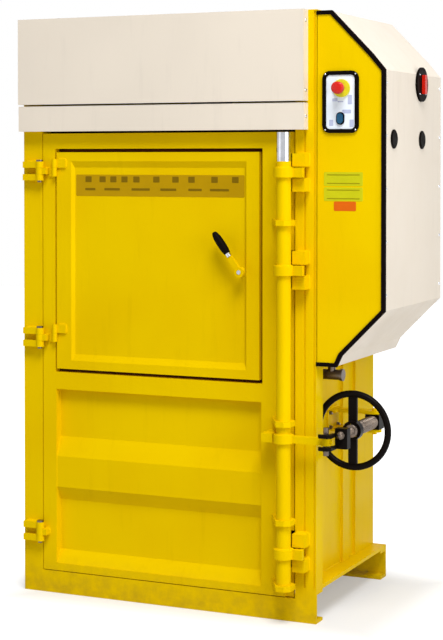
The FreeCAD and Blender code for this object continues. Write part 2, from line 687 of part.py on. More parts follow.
def cylinder():
    """Three stages slide inside the barrel, whose flange lies on two beams across the body."""
    flange = "(beam_low + beam_tall)"
    beams = []
    for start in (f"{CYL_Y} - beam_apart - beam_wide", f"{CYL_Y} + beam_apart"):
        whole = block((f"-{WALL_IN}", WALL_IN), (start, f"{start} + beam_wide"), ("beam_low", flange))
        hollow = block(
            (f"-{WALL_IN} - 1", f"{WALL_IN} + 1"),
            (f"{start} + wall_thick", f"{start} + beam_wide - wall_thick"),
            ("beam_low + wall_thick", f"{flange} - wall_thick"),
        )
        beams.append(cut(whole, hollow))
    node("cylinder_beams", group(*beams))
    barrel = rod("Z", ("0", CYL_Y, "barrel_low"), "barrel_radius", f"{flange} - barrel_low")
    seat = block(
        ("-flange_half", "flange_half"),
        (f"{CYL_Y} - flange_half", f"{CYL_Y} + flange_half"),
        (flange, f"{flange} + flange_thick"),
    )
    collar = rod("Z", ("0", CYL_Y, "barrel_low"), "barrel_radius + collar_out", "collar_tall")
    bore = bored(0, "barrel_radius", "barrel_low", flange)
    node("cylinder_barrel", cut(fuse(barrel, seat, collar), bore))
    for number in (1, 2):
        outer, top = stage_radius(number), f"({flange} - {number} * stage_drop)"
        low = f"(barrel_low - {number} * stage_step)"
        whole = rod("Z", ("0", CYL_Y, low), outer, f"{top} - {low}")
        node(f"cylinder_stage_{number}", cut(whole, bored(number, outer, low, flange)))
    foot = "(plate_low + plate_thick)"
    plunger = rod("Z", ("0", CYL_Y, foot), stage_radius(3), f"{flange} - 3 * stage_drop - {foot}")
    pad = rod("Z", ("0", CYL_Y, foot), "foot_radius", "stage_end")
    node("cylinder_plunger", fuse(plunger, pad))


def stage_radius(number):
    """Outer radius of a cylinder stage, counted inwards from the barrel."""
    return f"(barrel_radius - {number} * (stage_wall + stage_play))"


def bored(number, outer, low, flange):
    """The bore of the barrel or of a stage, open at its mouth and closed at its top."""
    top = f"({flange} - {number} * stage_drop - stage_end)"
    return rod("Z", ("0", CYL_Y, f"{low} - 1"), f"{outer} - stage_wall", f"{top} - {low} + 1")


# ---------------------------------------------------------------- bale door
def bale_door():
    """Frame with the feed opening and its ledge, the strike slot of the latch, and the folded lower panel."""
    whole = block((DOOR_LEFT, DOOR_RIGHT), ("0", "door_deep"), (DOOR_LOW, "door_high"))
    opening = block((FEED_L, FEED_R), ("-1", LANDING_Y), ("mid_rail_high", FEED_TOP))
    inner = block(
        (f"{FEED_L} + landing", f"{FEED_R} - landing"),
        ("-1", "door_deep + 1"),
        ("mid_rail_high + landing", f"{FEED_TOP} - landing"),
    )
    panel_z = (f"{DOOR_LOW} + bottom_rail", "mid_rail_low")
    panel_x = (f"{FEED_L} + panel_side", f"{FEED_R} - panel_side")
    lower = block(panel_x, ("-1", "door_deep - door_back"), panel_z)
    strike = block(
        (f"{FEED_R} - landing - 1", f"{FEED_R} + strike_reach"),
        (f"{LANDING_Y} + strike_wall", "door_deep - strike_wall"),
        (f"{LATCH_Z} - tongue_long", f"{LATCH_Z} + strike_top"),
    )
    node("door_frame", fuse(cut(whole, opening, inner, lower, strike), closer()))
    out, deep = "panel_proud", "panel_recess"
    front = [
        (deep, "mid_rail_low"), (deep, "fold_1"), (out, "fold_2"), (out, "fold_3"),
        (deep, "fold_4"), (deep, "fold_5"), (out, f"{DOOR_LOW} + bottom_rail"),
    ]  # fmt: skip
    back = [(f"{y} + panel_skin", z) for y, z in reversed(front)]
    node("door_panel", prism("YZ", front + back, *panel_x))


def closer():
    """The strip along the door's lock edge that hides the gap to the post, notched where the hooks pass."""
    strip_y = ("closer_back", "closer_back + closer_thick")
    end = f"({POST_IN} - closer_gap)"
    strip = block((f"{DOOR_RIGHT} - 1", end), strip_y, (DOOR_LOW, "door_high"))
    notches = []
    for level in HOOK_LEVELS:
        z = (f"{level} - closer_notch", f"{level} + closer_notch")
        notches.append(block((DOOR_RIGHT, f"{end} + 1"), ("0", "door_deep"), z))
    return cut(strip, *notches)


def hinges():
    """Bale door hinges: two lug knuckles on the post, one between them on the door, and a pin."""
    axis_y = "-hinge_proud"
    lugs, leaves, pins = [], [], []
    third = "(hinge_tall / 3)"
    strap, back = "(-hinge_proud - strap_front)", "(-hinge_proud + hinge_radius)"
    for level in HINGE_LEVELS:
        base_z = f"({level} - hinge_tall / 2)"
        for step in (0, 1, 2):
            low = f"({base_z} + {step} * {third})"
            gap = "knuckle_gap" if step == 1 else "0"
            z = (f"{low} + {gap}", f"{low} + {third} - {gap}")
            tall = f"({z[1]}) - ({z[0]})"
            knuckle = rod("Z", (HINGE_X, axis_y, z[0]), "hinge_radius", tall)
            play = "pin_play" if step == 1 else "0"
            bore = rod("Z", (HINGE_X, axis_y, f"{z[0]} - 1"), f"hinge_pin + {play}", f"{tall} + 2")
            if step == 1:
                arm = block((HINGE_X, f"{HINGE_X} + hinge_leaf"), (strap, back), z)
                seat = block((f"{HINGE_X} + strap_clear", f"{HINGE_X} + hinge_leaf"), (f"{back} - 1", "0"), z)
                leaves.append(cut(fuse(knuckle, arm, seat), bore))
            else:
                arm = block((f"{HINGE_X} - hinge_lug", HINGE_X), (strap, back), z)
                seat = block((f"{HINGE_X} - hinge_lug", f"{HINGE_X} - strap_clear"), (f"{back} - 1", "0"), z)
                lugs.append(cut(fuse(knuckle, arm, seat), bore))
        shank = rod("Z", (HINGE_X, axis_y, f"{base_z} - pin_end"), "hinge_pin", "hinge_tall + 2 * pin_end")
        head = rod("Z", (HINGE_X, axis_y, f"{base_z} + hinge_tall"), "hinge_pin + pin_head", "pin_end")
        pins.append(fuse(shank, head))
    node("hinge_lugs", group(*lugs))
    node("hinge_leaves", group(*leaves))
    node("hinge_pins", group(*pins))


# ---------------------------------------------------------------- feed door
def feed_door():
    """A pan of folded sheet, open at the back, with a sunk field, and the seal that it closes on."""
    pan = block((LEAF_L, LEAF_R), ("0", LEAF_BACK), (LEAF_LOW, LEAF_TOP))
    hollow = block(
        (f"{LEAF_L} + feed_skin", f"{LEAF_R} - feed_skin"),
        ("feed_skin", f"{LEAF_BACK} + 1"),
        (f"{LEAF_LOW} + feed_skin", f"{LEAF_TOP} - feed_skin"),
    )
    shell = cut(pan, hollow)
    sunk = dish("0", "-1")
    backing = dish("feed_skin", "feed_skin - 1")
    stay_z = (f"{LEAF_LOW} + feed_skin - 1", f"{LEAF_TOP} - feed_skin + 1")
    ribs = [
        block((x, f"{x} + stay_wide"), ("feed_skin - 1", f"{LEAF_BACK} - stay_back"), stay_z)
        for x in ("stay_left", "stay_right")
    ]
    boss = rod("Y", (LATCH_X, "feed_skin - 1", LATCH_Z), "latch_hub_radius", f"{LEAF_BACK} - feed_skin")
    bore = rod("Y", (LATCH_X, "-20", LATCH_Z), "latch_spindle_radius + pin_play", "80")
    node("feed_door", cut(fuse(shell, backing, boss, *ribs), sunk, bore))
    outer = block((FEED_L, FEED_R), (f"{LANDING_Y} - seal_thick", LANDING_Y), ("mid_rail_high", FEED_TOP))
    clear = block(
        (f"{FEED_L} + landing", f"{FEED_R} - landing"),
        ("0", "door_deep"),
        ("mid_rail_high + landing", f"{FEED_TOP} - landing"),
    )
    node("feed_seal", cut(outer, clear))


def dish(grow, front):
    """A block with four sloping sides that fills the sunk field, or its back when it is grown by a skin."""
    obj = doc.addObject("Part::Wedge", "Dish")
    x = (f"({LEAF_L} + field_left - {grow})", f"({LEAF_R} - field_side + {grow})")
    z = (f"({LEAF_LOW} + field_low - {grow})", f"({LEAF_TOP} - field_top + {grow})")
    run, fall = "field_run / field_deep", "field_fall / field_deep"
    deep = f"(field_deep + {grow})"
    for prop, expression in (
        ("Ymin", front), ("Ymax", deep),
        ("Xmin", f"{x[0]} + ({front}) * {run}"), ("Xmax", f"{x[1]} - ({front}) * {run}"),
        ("Zmin", f"{z[0]} + ({front}) * {fall}"), ("Zmax", f"{z[1]} - ({front}) * {fall}"),
        ("X2min", f"{x[0]} + {deep} * {run}"), ("X2max", f"{x[1]} - {deep} * {run}"),
        ("Z2min", f"{z[0]} + {deep} * {fall}"), ("Z2max", f"{z[1]} - {deep} * {fall}"),
    ):  # fmt: skip
        bind(obj, prop, expression)
    return obj


def feed_hinges():
    """Lift-off hinges: the lower half with its pin on the frame, the upper half on the feed door."""
    axis_x, axis_y = f"({FEED_L} + feed_hinge_gap / 2)", "(-feed_knuckle - feed_stand)"
    strap = (f"{axis_y} + feed_strap_in", f"{axis_y} + feed_strap_in + feed_strap")
    half = "(feed_hinge_tall / 2)"
    fixed, turning = [], []
    for level in FEED_HINGE_LEVELS:
        low, mid = f"({level} - {half})", f"({level} + feed_lift)"
        knuckle = rod("Z", (axis_x, axis_y, low), "feed_knuckle", half)
        pin = rod("Z", (axis_x, axis_y, low), "feed_pin", "feed_hinge_tall - feed_pin_short")
        z = (low, f"{low} + {half}")
        plate = block((f"{axis_x} - feed_post", axis_x), strap, z)
        pad = block((f"{axis_x} - feed_post", f"{axis_x} - feed_pad"), (strap[1], "0"), z)
        fixed.append(fuse(knuckle, pin, plate, pad))
        top = f"({low} + feed_hinge_tall)"
        knuckle = rod("Z", (axis_x, axis_y, mid), "feed_knuckle", f"{half} - feed_lift")
        plate = block((axis_x, f"{axis_x} + feed_leaf"), strap, (mid, top))
        pad = block((f"{axis_x} + feed_pad", f"{axis_x} + feed_leaf"), (strap[1], "0"), (mid, top))
        bore = rod("Z", (axis_x, axis_y, f"{mid} - 1"), "feed_pin + pin_play", f"{half} - feed_pin_short + 2")
        turning.append(cut(fuse(knuckle, plate, pad), bore))
    node("feed_hinge_posts", group(*fixed))
    node("feed_hinge_leaves", group(*turning))


def feed_latch():
    """Lever, grip and spindle. The tongue behind the feed door swings into the strike slot."""
    lean = Rotation(Vector(0, 1, 0), -s.latch_lean)
    pivot = (LATCH_X, "-latch_stand", LATCH_Z)
    hub = rod("Y", ("0", "-hub_front", "0"), "latch_hub_radius", "hub_deep")
    arm = [
        ("-lever_foot", "0"), ("lever_foot", "0"), ("lever_head", "lever_long"), ("-lever_head", "lever_long"),
    ]  # fmt: skip
    arm = prism("XZ", arm, "-lever_half", "lever_half")
    bore = rod("Y", ("0", "-hub_front - 1", "0"), "latch_spindle_radius", "hub_deep + 2")
    node("latch_lever", moved(cut(fuse(hub, arm), bore), pivot, lean))
    foot, long = "lever_long + ferrule_long", "(latch_long - lever_long - ferrule_long)"
    grip = [
        ("0", foot), ("grip_foot", foot), ("grip_radius - 1", f"{foot} + 0.17 * {long}"),
        ("grip_radius", f"{foot} + 0.46 * {long}"), ("grip_radius - 2", f"{foot} + 0.81 * {long}"),
        ("grip_tip", f"{foot} + 0.95 * {long}"), ("0", "latch_long"),
    ]  # fmt: skip
    node("latch_grip", moved(turned("XZ", grip), pivot, lean))
    front = (LATCH_X, "-latch_stand - hub_front - 2", LATCH_Z)
    inner = f"door_deep - strike_wall - tongue_play"
    spindle = rod("Y", front, "latch_spindle_radius", f"latch_stand + hub_front + 2 + {inner}")
    node("latch_spindle", group(fuse(spindle, tongue()), ferrule_on(lean, pivot)))


def tongue():
    """The flat tongue on the spindle's inner end, hanging below level at rest."""
    y = (f"{LANDING_Y} + strike_wall + tongue_play", "door_deep - strike_wall - tongue_play")
    points = [
        ("-tongue_half", "-tongue_half"), ("tongue_long - tongue_point", "-tongue_half"),
        ("tongue_long", "0"), ("tongue_long - tongue_point", "tongue_half"), ("-tongue_half", "tongue_half"),
    ]  # fmt: skip
    bar = prism("XZ", points, *y)
    return moved(bar, (LATCH_X, "0", LATCH_Z), Rotation(Vector(0, 1, 0), s.tongue_rest))


def ferrule_on(lean, pivot):
    """The bright ferrule between the lever and its grip."""
    low, high = "lever_long", "lever_long + ferrule_long"
    ring = [("0", low), ("ferrule_radius", low), ("ferrule_radius", high), ("0", high)]
    return moved(turned("XZ", ring), pivot, lean)


# ---------------------------------------------------------------- lock shaft
def around(angle, radius, centre):
    """A point at an angle from straight back, clockwise from above, and a radius from a centre."""
    turn = math.radians(angle)
    return Vector(centre.x + radius * math.sin(turn), centre.y + radius * math.cos(turn), centre.z)


def hook_plate(centre):
    """A hook in plan: a neck from the boss, and a curl about the shaft axis that passes behind the pin."""
    tip_in, tip_out = around(s.hook_from, s.hook_inner, centre), around(s.hook_from, s.hook_outer, centre)
    neck_in = around(s.hook_neck, s.hook_inner, centre)
    neck_root = around(s.hook_neck, s.hook_hub - 4, centre)
    heel_out, heel_root = around(s.hook_to, s.hook_outer, centre), around(s.hook_to, s.hook_hub - 4, centre)
    middle_out = around((s.hook_from + s.hook_to) / 2, s.hook_outer, centre)
    middle_in = around((s.hook_from + s.hook_neck) / 2, s.hook_inner, centre)
    edges = [
        Part.Arc(tip_out, middle_out, heel_out).toShape(),
        Part.makeLine(heel_out, heel_root),
        Part.makeLine(heel_root, neck_root),
        Part.makeLine(neck_root, neck_in),
        Part.Arc(neck_in, middle_in, tip_in).toShape(),
        Part.makeLine(tip_in, tip_out),
    ]
    curl = Part.Face(Part.Wire(edges)).extrude(Vector(0, 0, s.hook_thick))
    boss = Part.makeCylinder(s.hook_hub, s.hook_thick, centre)
    bore = Part.makeCylinder(s.lock_radius, s.hook_thick, centre)
    return curl.fuse(boss).cut(bore).removeSplitter()


def lock():
    """Shaft with its journal, the three hooks, the cross arm with its tongue, and the catch pin."""
    shaft = rod("Z", (LOCK_X, "-lock_proud", "lock_low"), "lock_radius", "journal_low - lock_low")
    node("lock_shaft", shaft)
    foot = (LOCK_X, "-lock_proud", "journal_low")
    node("lock_journal", rod("Z", foot, "lock_radius", "lock_high - journal_low"))
    lock_x = s.body_wide / 2 - s.post_wide - s.lock_gap + s.lock_over
    hooks = [hook_plate(Vector(lock_x, -s.lock_proud, level - s.hook_thick / 2)) for level in HOOK_LEVELS]
    plain("lock_hooks", Part.makeCompound(hooks))
    low, high = "(arm_level - arm_tall / 2)", "(arm_level + arm_tall / 2)"
    thin = ("arm_level - tongue_tall / 2", "arm_level + tongue_tall / 2")
    y = ("-lock_proud - arm_deep / 2", "-lock_proud + arm_deep / 2")
    boss = rod("Z", (LOCK_X, "-lock_proud", "arm_level - stop_tall / 2"), "hook_hub", "stop_tall")
    bar = block((LOCK_X, f"{LOCK_X} + arm_reach"), y, (low, high))
    tip = block((f"{LOCK_X} + arm_reach - 1", f"{LOCK_X} + tongue_reach - tongue_end"), y, thin)
    narrow = (f"{y[0]} + tongue_step", f"{y[1]} - tongue_step")
    end = block((f"{LOCK_X} + arm_reach", f"{LOCK_X} + tongue_reach"), narrow, thin)
    bore = rod("Z", (LOCK_X, "-lock_proud", "arm_level - stop_tall"), "lock_radius", "2 * stop_tall")
    eye = (f"{LOCK_X} + catch_reach", "-lock_proud", "arm_level - catch_half")
    lug = rod("Z", (eye[0], eye[1], low), "catch_radius + catch_lug", "arm_tall")
    hole = rod("Z", eye, "catch_radius", "2 * catch_half")
    node("lock_arm", cut(fuse(boss, bar, tip, end, lug), bore, hole))
    pin = rod("Z", (eye[0], eye[1], "arm_level - catch_half"), "catch_radius", "2 * catch_half")
    node("catch_pin", pin)


def bearings():
    """Lugs on the bale door that the lock shaft turns in, a foot that it stands on, and a lug by the arm."""
    lugs = []
    foot = "lock_low - bearing_thick - shaft_play"
    for level in [f"{level}" for level in BEARING_LEVELS] + [foot]:
        outline = [
            (f"{LOCK_X} - bearing_foot", "0"), (f"{LOCK_X} - bearing_rise", "0"),
            (f"{LOCK_X} + bearing_right", "bearing_rise - lock_proud"),
            (f"{LOCK_X} + bearing_right", "-lock_proud - bearing_waist"),
            (f"{LOCK_X} + bearing_flat", "-lock_proud - bearing_nose"),
            (f"{LOCK_X} - bearing_flat", "-lock_proud - bearing_nose"),
        ]  # fmt: skip
        lug = prism("XY", outline, level, f"{level} + bearing_thick")
        start = (LOCK_X, "-lock_proud", f"{level} - 1")
        hole = rod("Z", start, "lock_radius + shaft_play", "bearing_thick + 2")
        lugs.append(lug if level == foot else cut(lug, hole))
    near = f"({LOCK_X} - hook_hub - stop_gap)"
    stop_z = ("arm_level - stop_tall / 2", "arm_level + stop_tall / 2")
    lugs.append(block((f"{near} - stop_lug", near), ("-lock_proud - arm_deep / 2", "0"), stop_z))
    node("lock_bearings", group(*lugs))


def keepers():
    """Two blocks on the post with a slot for the hook between them, and the pin that the hook passes."""
    pin_x = f"({LOCK_X} + keeper_bolt * sin(keeper_angle * 1deg))"
    pin_y = "(-lock_proud + keeper_bolt * cos(keeper_angle * 1deg))"
    left = f"({pin_x} - keeper_pin - keeper_skin)"
    x = (left, f"{left} + keeper_wide")
    sets = []
    for level in HOOK_LEVELS:
        upper = (f"{level} + keeper_gap / 2", f"{level} + keeper_gap / 2 + keeper_tall")
        lower = (f"{level} - keeper_gap / 2 - keeper_tall", f"{level} - keeper_gap / 2")
        tall = "keeper_gap + 2 * (keeper_tall - keeper_skin)"
        start = (pin_x, pin_y, f"{level} - keeper_gap / 2 - keeper_tall + keeper_skin")
        halves = [block(x, ("-keeper_deep", "0"), z) for z in (upper, lower)]
        sets.append(fuse(*halves, rod("Z", start, "keeper_pin", tall)))
    node("keepers", group(*sets))


# ---------------------------------------------------------------- handwheel and screw
def swing_bracket():
    """Two rounded ears on a back plate welded to the side wall, with the swing pin through them."""
    half = "(block_half + ear_play)"
    ears = []
    for low in (f"draw_level + {half}", f"draw_level - {half} - ear_thick"):
        z = (low, f"{low} + ear_thick")
        strap = block((WALL_OUT, DRAW_X), ("draw_back - ear_half", "draw_back + ear_half"), z)
        nose = rod("Z", (DRAW_X, "draw_back", low), "ear_half", "ear_thick")
        gusset_y = ("draw_back - gusset_half", "draw_back + gusset_half")
        gusset = block((WALL_OUT, f"{WALL_OUT} + gusset_out"), gusset_y, z)
        ears += [strap, nose, gusset]
    reach = f"({half} + ear_thick + bracket_over)"
    y = ("draw_back - bracket_half", "draw_back + bracket_half")
    z = (f"draw_level - {reach}", f"draw_level + {reach}")
    plate = block((WALL_OUT, f"{WALL_OUT} + bracket_thick"), y, z)
    reach = f"({half} + ear_thick + pin_over)"
    pin = rod("Z", (DRAW_X, "draw_back", f"draw_level - {reach}"), "swing_pin", f"2 * {reach}")
    node("swing_bracket", fuse(plate, pin, *ears))


def draw_gear():
    """Swing block, threaded sleeve, handwheel, screw, and the two-plate hook on the screw's front end."""
    half = "block_half"
    cube = block(
        (f"{DRAW_X} - {half}", f"{DRAW_X} + {half}"),
        (f"draw_back - {half}", f"draw_back + {half}"),
        (f"draw_level - {half}", f"draw_level + {half}"),
    )
    below = (DRAW_X, "draw_back", f"draw_level - {half} - 1")
    pin_hole = rod("Z", below, "swing_pin + pin_play", f"2 * {half} + 2")
    socket = (DRAW_X, f"draw_back - {half} - 1", "draw_level")
    journal_hole = rod("Y", socket, "journal + pin_play", "journal_deep + 2")
    node("swing_block", cut(cube, pin_hole, journal_hole))
    front, end = "(wheel_back - sleeve_front)", f"(draw_back - {half} - sleeve_back)"
    sleeve = rod("Y", (DRAW_X, front, "draw_level"), "sleeve_radius", f"{end} - {front}")
    journal = rod("Y", (DRAW_X, f"{end} - 1", "draw_level"), "journal", "journal_deep + sleeve_back")
    mouth = (DRAW_X, f"{front} - 1", "draw_level")
    bore = rod("Y", mouth, "screw_radius + pin_play", "sleeve_bore")
    node("screw_sleeve", cut(fuse(sleeve, journal), bore))
    node("handwheel", handwheel())
    screw = rod("Y", (DRAW_X, "-boss_deep - screw_proud", "draw_level"), "screw_radius", "screw_long")
    node("draw_screw", fuse(screw, screw_nut()))
    node("draw_hook", draw_hook())


def handwheel():
    """A round rim, a spoke bar right across it, and a hub on the sleeve."""
    rim = doc.addObject("Part::Torus", "Rim")
    bind(rim, "Radius1", "wheel_radius")
    bind(rim, "Radius2", "rim_radius")
    rim.Placement = Placement(Vector(), TURNS["Y"])
    place(rim, DRAW_X, "wheel_back", "draw_level")
    y = ("wheel_back - spoke_thick / 2", "wheel_back + spoke_thick / 2")
    spoke = block(
        (f"{DRAW_X} - spoke_wide / 2", f"{DRAW_X} + spoke_wide / 2"),
        y,
        ("draw_level - wheel_radius", "draw_level + wheel_radius"),
    )
    hub = rod("Y", (DRAW_X, "wheel_back - wheel_hub_deep / 2", "draw_level"), "wheel_hub", "wheel_hub_deep")
    start = (DRAW_X, "wheel_back - wheel_hub_deep", "draw_level")
    bore = rod("Y", start, "sleeve_radius", "2 * wheel_hub_deep")
    return cut(fuse(rim, spoke, hub), bore)


def screw_nut():
    """The hexagon nut on the screw's front end."""
    points = [(f"{DRAW_X} + nut_flat * {u}", f"draw_level + nut_flat * {v}") for u, v in HEXAGON]
    return prism("XZ", points, "-boss_deep - nut_tall", "-boss_deep")


HEXAGON = ((1, 0.57735), (0, 1.1547), (-1, 0.57735), (-1, -0.57735), (0, -1.1547), (1, -0.57735))


def draw_hook():
    """Two hook plates over and under the arm's tongue, joined by the boss that the screw passes."""
    left, right = f"{DRAW_X} - boss_left", f"{DRAW_X} + boss_right"
    tip, front = f"{DRAW_X} - nose_reach", "nose_back - nose_thick"
    outer = f"{DRAW_X} - nut_flat - shank_over"
    outline = [
        (tip, "nose_back"), (tip, f"{front} + nose_ease"), (f"{tip} + nose_ease", front),
        (f"{outer} - shank_ease", front), (outer, f"{front} + shank_ease"), (outer, "-boss_deep"),
        (right, "-boss_deep"), (right, "0"), (left, "0"), (left, "-boss_deep - shank_ease"),
        (f"{left} - shank_in", "-boss_deep - 2 * shank_ease"), (f"{left} - shank_in", "nose_back"),
    ]  # fmt: skip
    over, under = "arm_level + prong_gap / 2", "arm_level - prong_gap / 2 - prong_thick"
    plates = [prism("XY", outline, low, f"{low} + prong_thick") for low in (over, under)]
    boss = block((left, right), ("-boss_deep", "0"), (under, "draw_level + boss_right"))
    bore = rod("Y", (DRAW_X, "-boss_deep - 1", "draw_level"), "screw_radius", "boss_deep + bore_over")
    return cut(fuse(boss, *plates), bore)


# ---------------------------------------------------------------- covers
def folded_cover(x, proud, z):
    """A shallow tray of sheet, open towards the posts."""
    outer = block(x, (f"-{proud}", "0"), z)
    inner = block(
        (f"{x[0]} + cover_skin", f"{x[1]} - cover_skin"),
        (f"cover_skin - {proud}", "1"),
        (f"{z[0]} + cover_skin", f"{z[1]} - cover_skin"),
    )
    return cut(outer, inner)


def covers():
    """The tall cover across the front of the press, and the strip below its joint."""
    x = (f"-{SIDE}", f"{SIDE} - cover_right")
    node("top_cover", folded_cover(x, "cover_proud", ("cover_low", "body_tall")))
    node("cover_strip", folded_cover(x, "strip_proud", ("strip_low", "cover_low - joint_gap")))


# ---------------------------------------------------------------- side cabinet
# How the corners of an offset outline meet: 2 runs their sides on to a point.
MITRED = 2


def cabinet_outline(inset, left, at):
    """The cabinet's upright outline in the plane y = at, drawn in by inset, with its open end at x = left."""
    side = s.body_wide / 2
    start = left - inset
    points = [
        (start, s.cab_top), (side + s.cab_shoulder, s.cab_top),
        (side + s.cab_slope_out, s.cab_slope_low), (side + s.cab_wide, s.cab_side_top),
        (side + s.cab_wide, s.cab_side_low), (side + s.cab_heel_out, s.cab_heel_low),
        (side + s.cab_flat_out, s.cab_low), (start, s.cab_low),
    ]  # fmt: skip
    wire = Part.makePolygon([Vector(x, at, z) for x, z in points + points[:1]])
    return wire.makeOffset2D(-inset, MITRED) if inset else wire


def cabinet_prism(inset, left, front, back):
    return Part.Face(cabinet_outline(inset, left, front)).extrude(Vector(0, back - front, 0))


def cabinet():
    """Front plate, its rubber edging, and the shell behind, which closes against post and side wall."""
    side, wall = s.body_wide / 2, s.body_wide / 2 - s.wall_inset
    plain("cabinet_front", cabinet_prism(0, side + s.cab_seam, 0, s.cab_plate))
    skin, post = s.cab_skin, s.post_deep
    outer = cabinet_prism(0, wall, s.cab_plate, s.cab_deep)
    beside = Part.makeBox(s.wall_inset, post - s.cab_plate, s.body_tall, Vector(wall, s.cab_plate, 0))
    outer = outer.cut(beside)
    inner = cabinet_prism(skin, wall - 1, s.cab_plate, s.cab_deep - skin)
    corner = Vector(wall - 1, s.cab_plate, 0)
    inner = inner.cut(Part.makeBox(s.wall_inset + 1 + skin, post - s.cab_plate + skin, s.body_tall, corner))
    seam = Part.makeBox(s.cab_seam, post / 2, s.body_tall, Vector(side, 0, 0))
    plain("cabinet_shell", outer.cut(inner).cut(seam))
    start, front = side - s.post_wide, -s.trim_thick
    ring = cabinet_prism(-s.trim_wrap, start, front, s.trim_back)
    ring = ring.cut(cabinet_prism(s.trim_wide, start, front - 1, 0))
    ring = ring.cut(cabinet_prism(0, start, 0, s.trim_back + 1))
    corner = Vector(side - 2 * s.post_wide, front, 0)
    clear = Part.makeBox(2 * s.post_wide, s.post_deep, 2 * s.body_tall, corner)
    plain("cabinet_edging", ring.cut(clear).removeSplitter())


def power_pack():
    """Oil tank on the side wall, electric motor on it, and the valve block beside the motor."""
    x = (WALL_OUT, f"{WALL_OUT} + tank_wide")
    y = ("tank_front", "tank_front + tank_deep")
    rim_top = "(tank_low + tank_tall + tank_rim_tall)"
    tank = block(x, y, ("tank_low", "tank_low + tank_tall"))
    rim_y = (f"{y[0]} - tank_rim", f"{y[1]} + tank_rim")
    rim = block((x[0], f"{x[1]} + tank_rim"), rim_y, ("tank_low + tank_tall", rim_top))
    node("oil_tank", fuse(tank, rim))
    middle = f"{WALL_OUT} + tank_wide - motor_in"
    spot = (middle, "tank_front + tank_deep - motor_in")
    can_low = f"({rim_top} + flange_tall)"
    flange = rod("Z", (*spot, rim_top), "motor_radius + flange_out", "flange_tall")
    can = rod("Z", (*spot, can_low), "motor_radius", "motor_tall")
    hood_low = f"{can_low} + motor_tall"
    hood = cone("Z", (*spot, hood_low), "motor_radius", "motor_radius - hood_in", "hood_tall")
    node("motor", fuse(flange, can, hood))
    valve_y = ("tank_front + valve_front", "tank_front + valve_front + valve_deep")
    valve_x = (f"{middle} - valve_half", f"{middle} + valve_half")
    valve = block(valve_x, valve_y, (rim_top, f"{rim_top} + valve_tall"))
    coil = rod("Y", (middle, f"{valve_y[0]} - coil_long", f"{rim_top} + coil_up"), "coil_radius", "coil_long")
    seat = (middle, f"{valve_y[0]} + valve_deep / 2", f"{rim_top} + valve_tall")
    cap = rod("Z", seat, "relief_radius", "relief_tall")
    node("valve_block", fuse(valve, cap, coil))


def side_fittings():
    """Main switch with its knob, two round caps, and the oil fitting below the cabinet."""
    start = (CAB_X, "switch_back", "switch_level")
    rose = rod("X", start, "switch_radius", "rose_thick")
    floor = f"({CAB_X} + rose_thick - well_deep)"
    well = rod("X", (floor, *start[1:]), "shank_radius + pin_play", "well_deep + 1")
    node("switch_rose", cut(rose, well))
    shank = rod("X", (f"{floor} + shank_lift", *start[1:]), "shank_radius", "2 * well_deep")
    bar = block(
        (f"{CAB_X} + rose_thick + shank_lift", f"{CAB_X} + knob_out"),
        ("switch_back - knob_half", "switch_back + knob_half"),
        ("switch_level - knob_long", "switch_level + knob_long"),
    )
    node("switch_knob", fuse(shank, bar))
    caps = []
    for y in ("cap_front", "cap_rear"):
        disc = rod("X", (CAB_X, y, "cap_level"), "cap_radius", "cap_thick")
        crown_x = f"{CAB_X} + cap_thick"
        crown = cone("X", (crown_x, y, "cap_level"), "cap_radius", "cap_radius - cap_ease", "cap_thick")
        caps.append(fuse(disc, crown))
    node("side_caps", group(*caps))
    x, y, z = f"{SIDE} + fitting_out", "fitting_back", "cab_low - fitting_drop"
    neck = rod("Z", (x, y, z), "fitting_neck", "fitting_drop")
    body = rod("X", (f"{x} - fitting_left", y, z), "fitting_radius", "fitting_left + fitting_right")
    collar = rod("X", (f"{x} + fitting_right", y, z), "fitting_collar", "fitting_ring")
    node("oil_fitting", fuse(neck, body, collar))


def controls():
    """Control panel with its bezel, the stop button in its collar, and the start button in its ring."""
    x, z = (PANEL_L, PANEL_R), ("panel_low", "panel_low + panel_tall")
    node("control_panel", rounded(block(x, ("-panel_thick", "0"), z), s.window_round))
    outer = block(
        (f"{x[0]} - bezel_wide", f"{x[1]} + bezel_wide"),
        ("-bezel_proud", "0"),
        (f"{z[0]} - bezel_wide", f"{z[1]} + bezel_wide"),
    )
    window = rounded(block(x, ("-bezel_proud - 1", "1"), z), s.window_round)
    frame = cut(rounded(outer, s.bezel_round), window)
    at = (f"{PANEL_L} + stop_in", "0", "stop_level")
    face = "-panel_thick"
    collar_y = f"{face} - collar_thick"
    collar = rod("Y", (at[0], collar_y, at[2]), "collar_radius", "collar_thick")
    passage = rod("Y", (at[0], f"{collar_y} - 1", at[2]), "stop_stem + pin_play", "collar_thick + 2")
    node("stop_collar", cut(collar, passage))
    back = f"({face} - stop_out)"
    stem = rod("Y", (at[0], f"{back} - 1", at[2]), "stop_stem", "stop_out + 1 - stem_short")
    head = rod("Y", (at[0], f"{back} - stop_deep", at[2]), "stop_radius", "stop_deep")
    crown_y = f"{back} - stop_deep - crown_deep"
    crown = cone("Y", (at[0], crown_y, at[2]), "stop_radius - crown_in", "stop_radius", "crown_deep")
    node("stop_button", fuse(stem, head, crown))
    at = (f"{PANEL_L} + start_in", "0", "start_level")
    ring = pill(at, f"{face} - ring_thick", "start_radius + start_ring", "ring_thick")
    ring = cut(ring, pill(at, f"{face} - ring_thick - 1", "start_radius + pin_play", "ring_thick + 2"))
    node("panel_bezel", group(frame, ring))
    node("start_button", pill(at, f"{face} - start_out", "start_radius", "start_deep"))


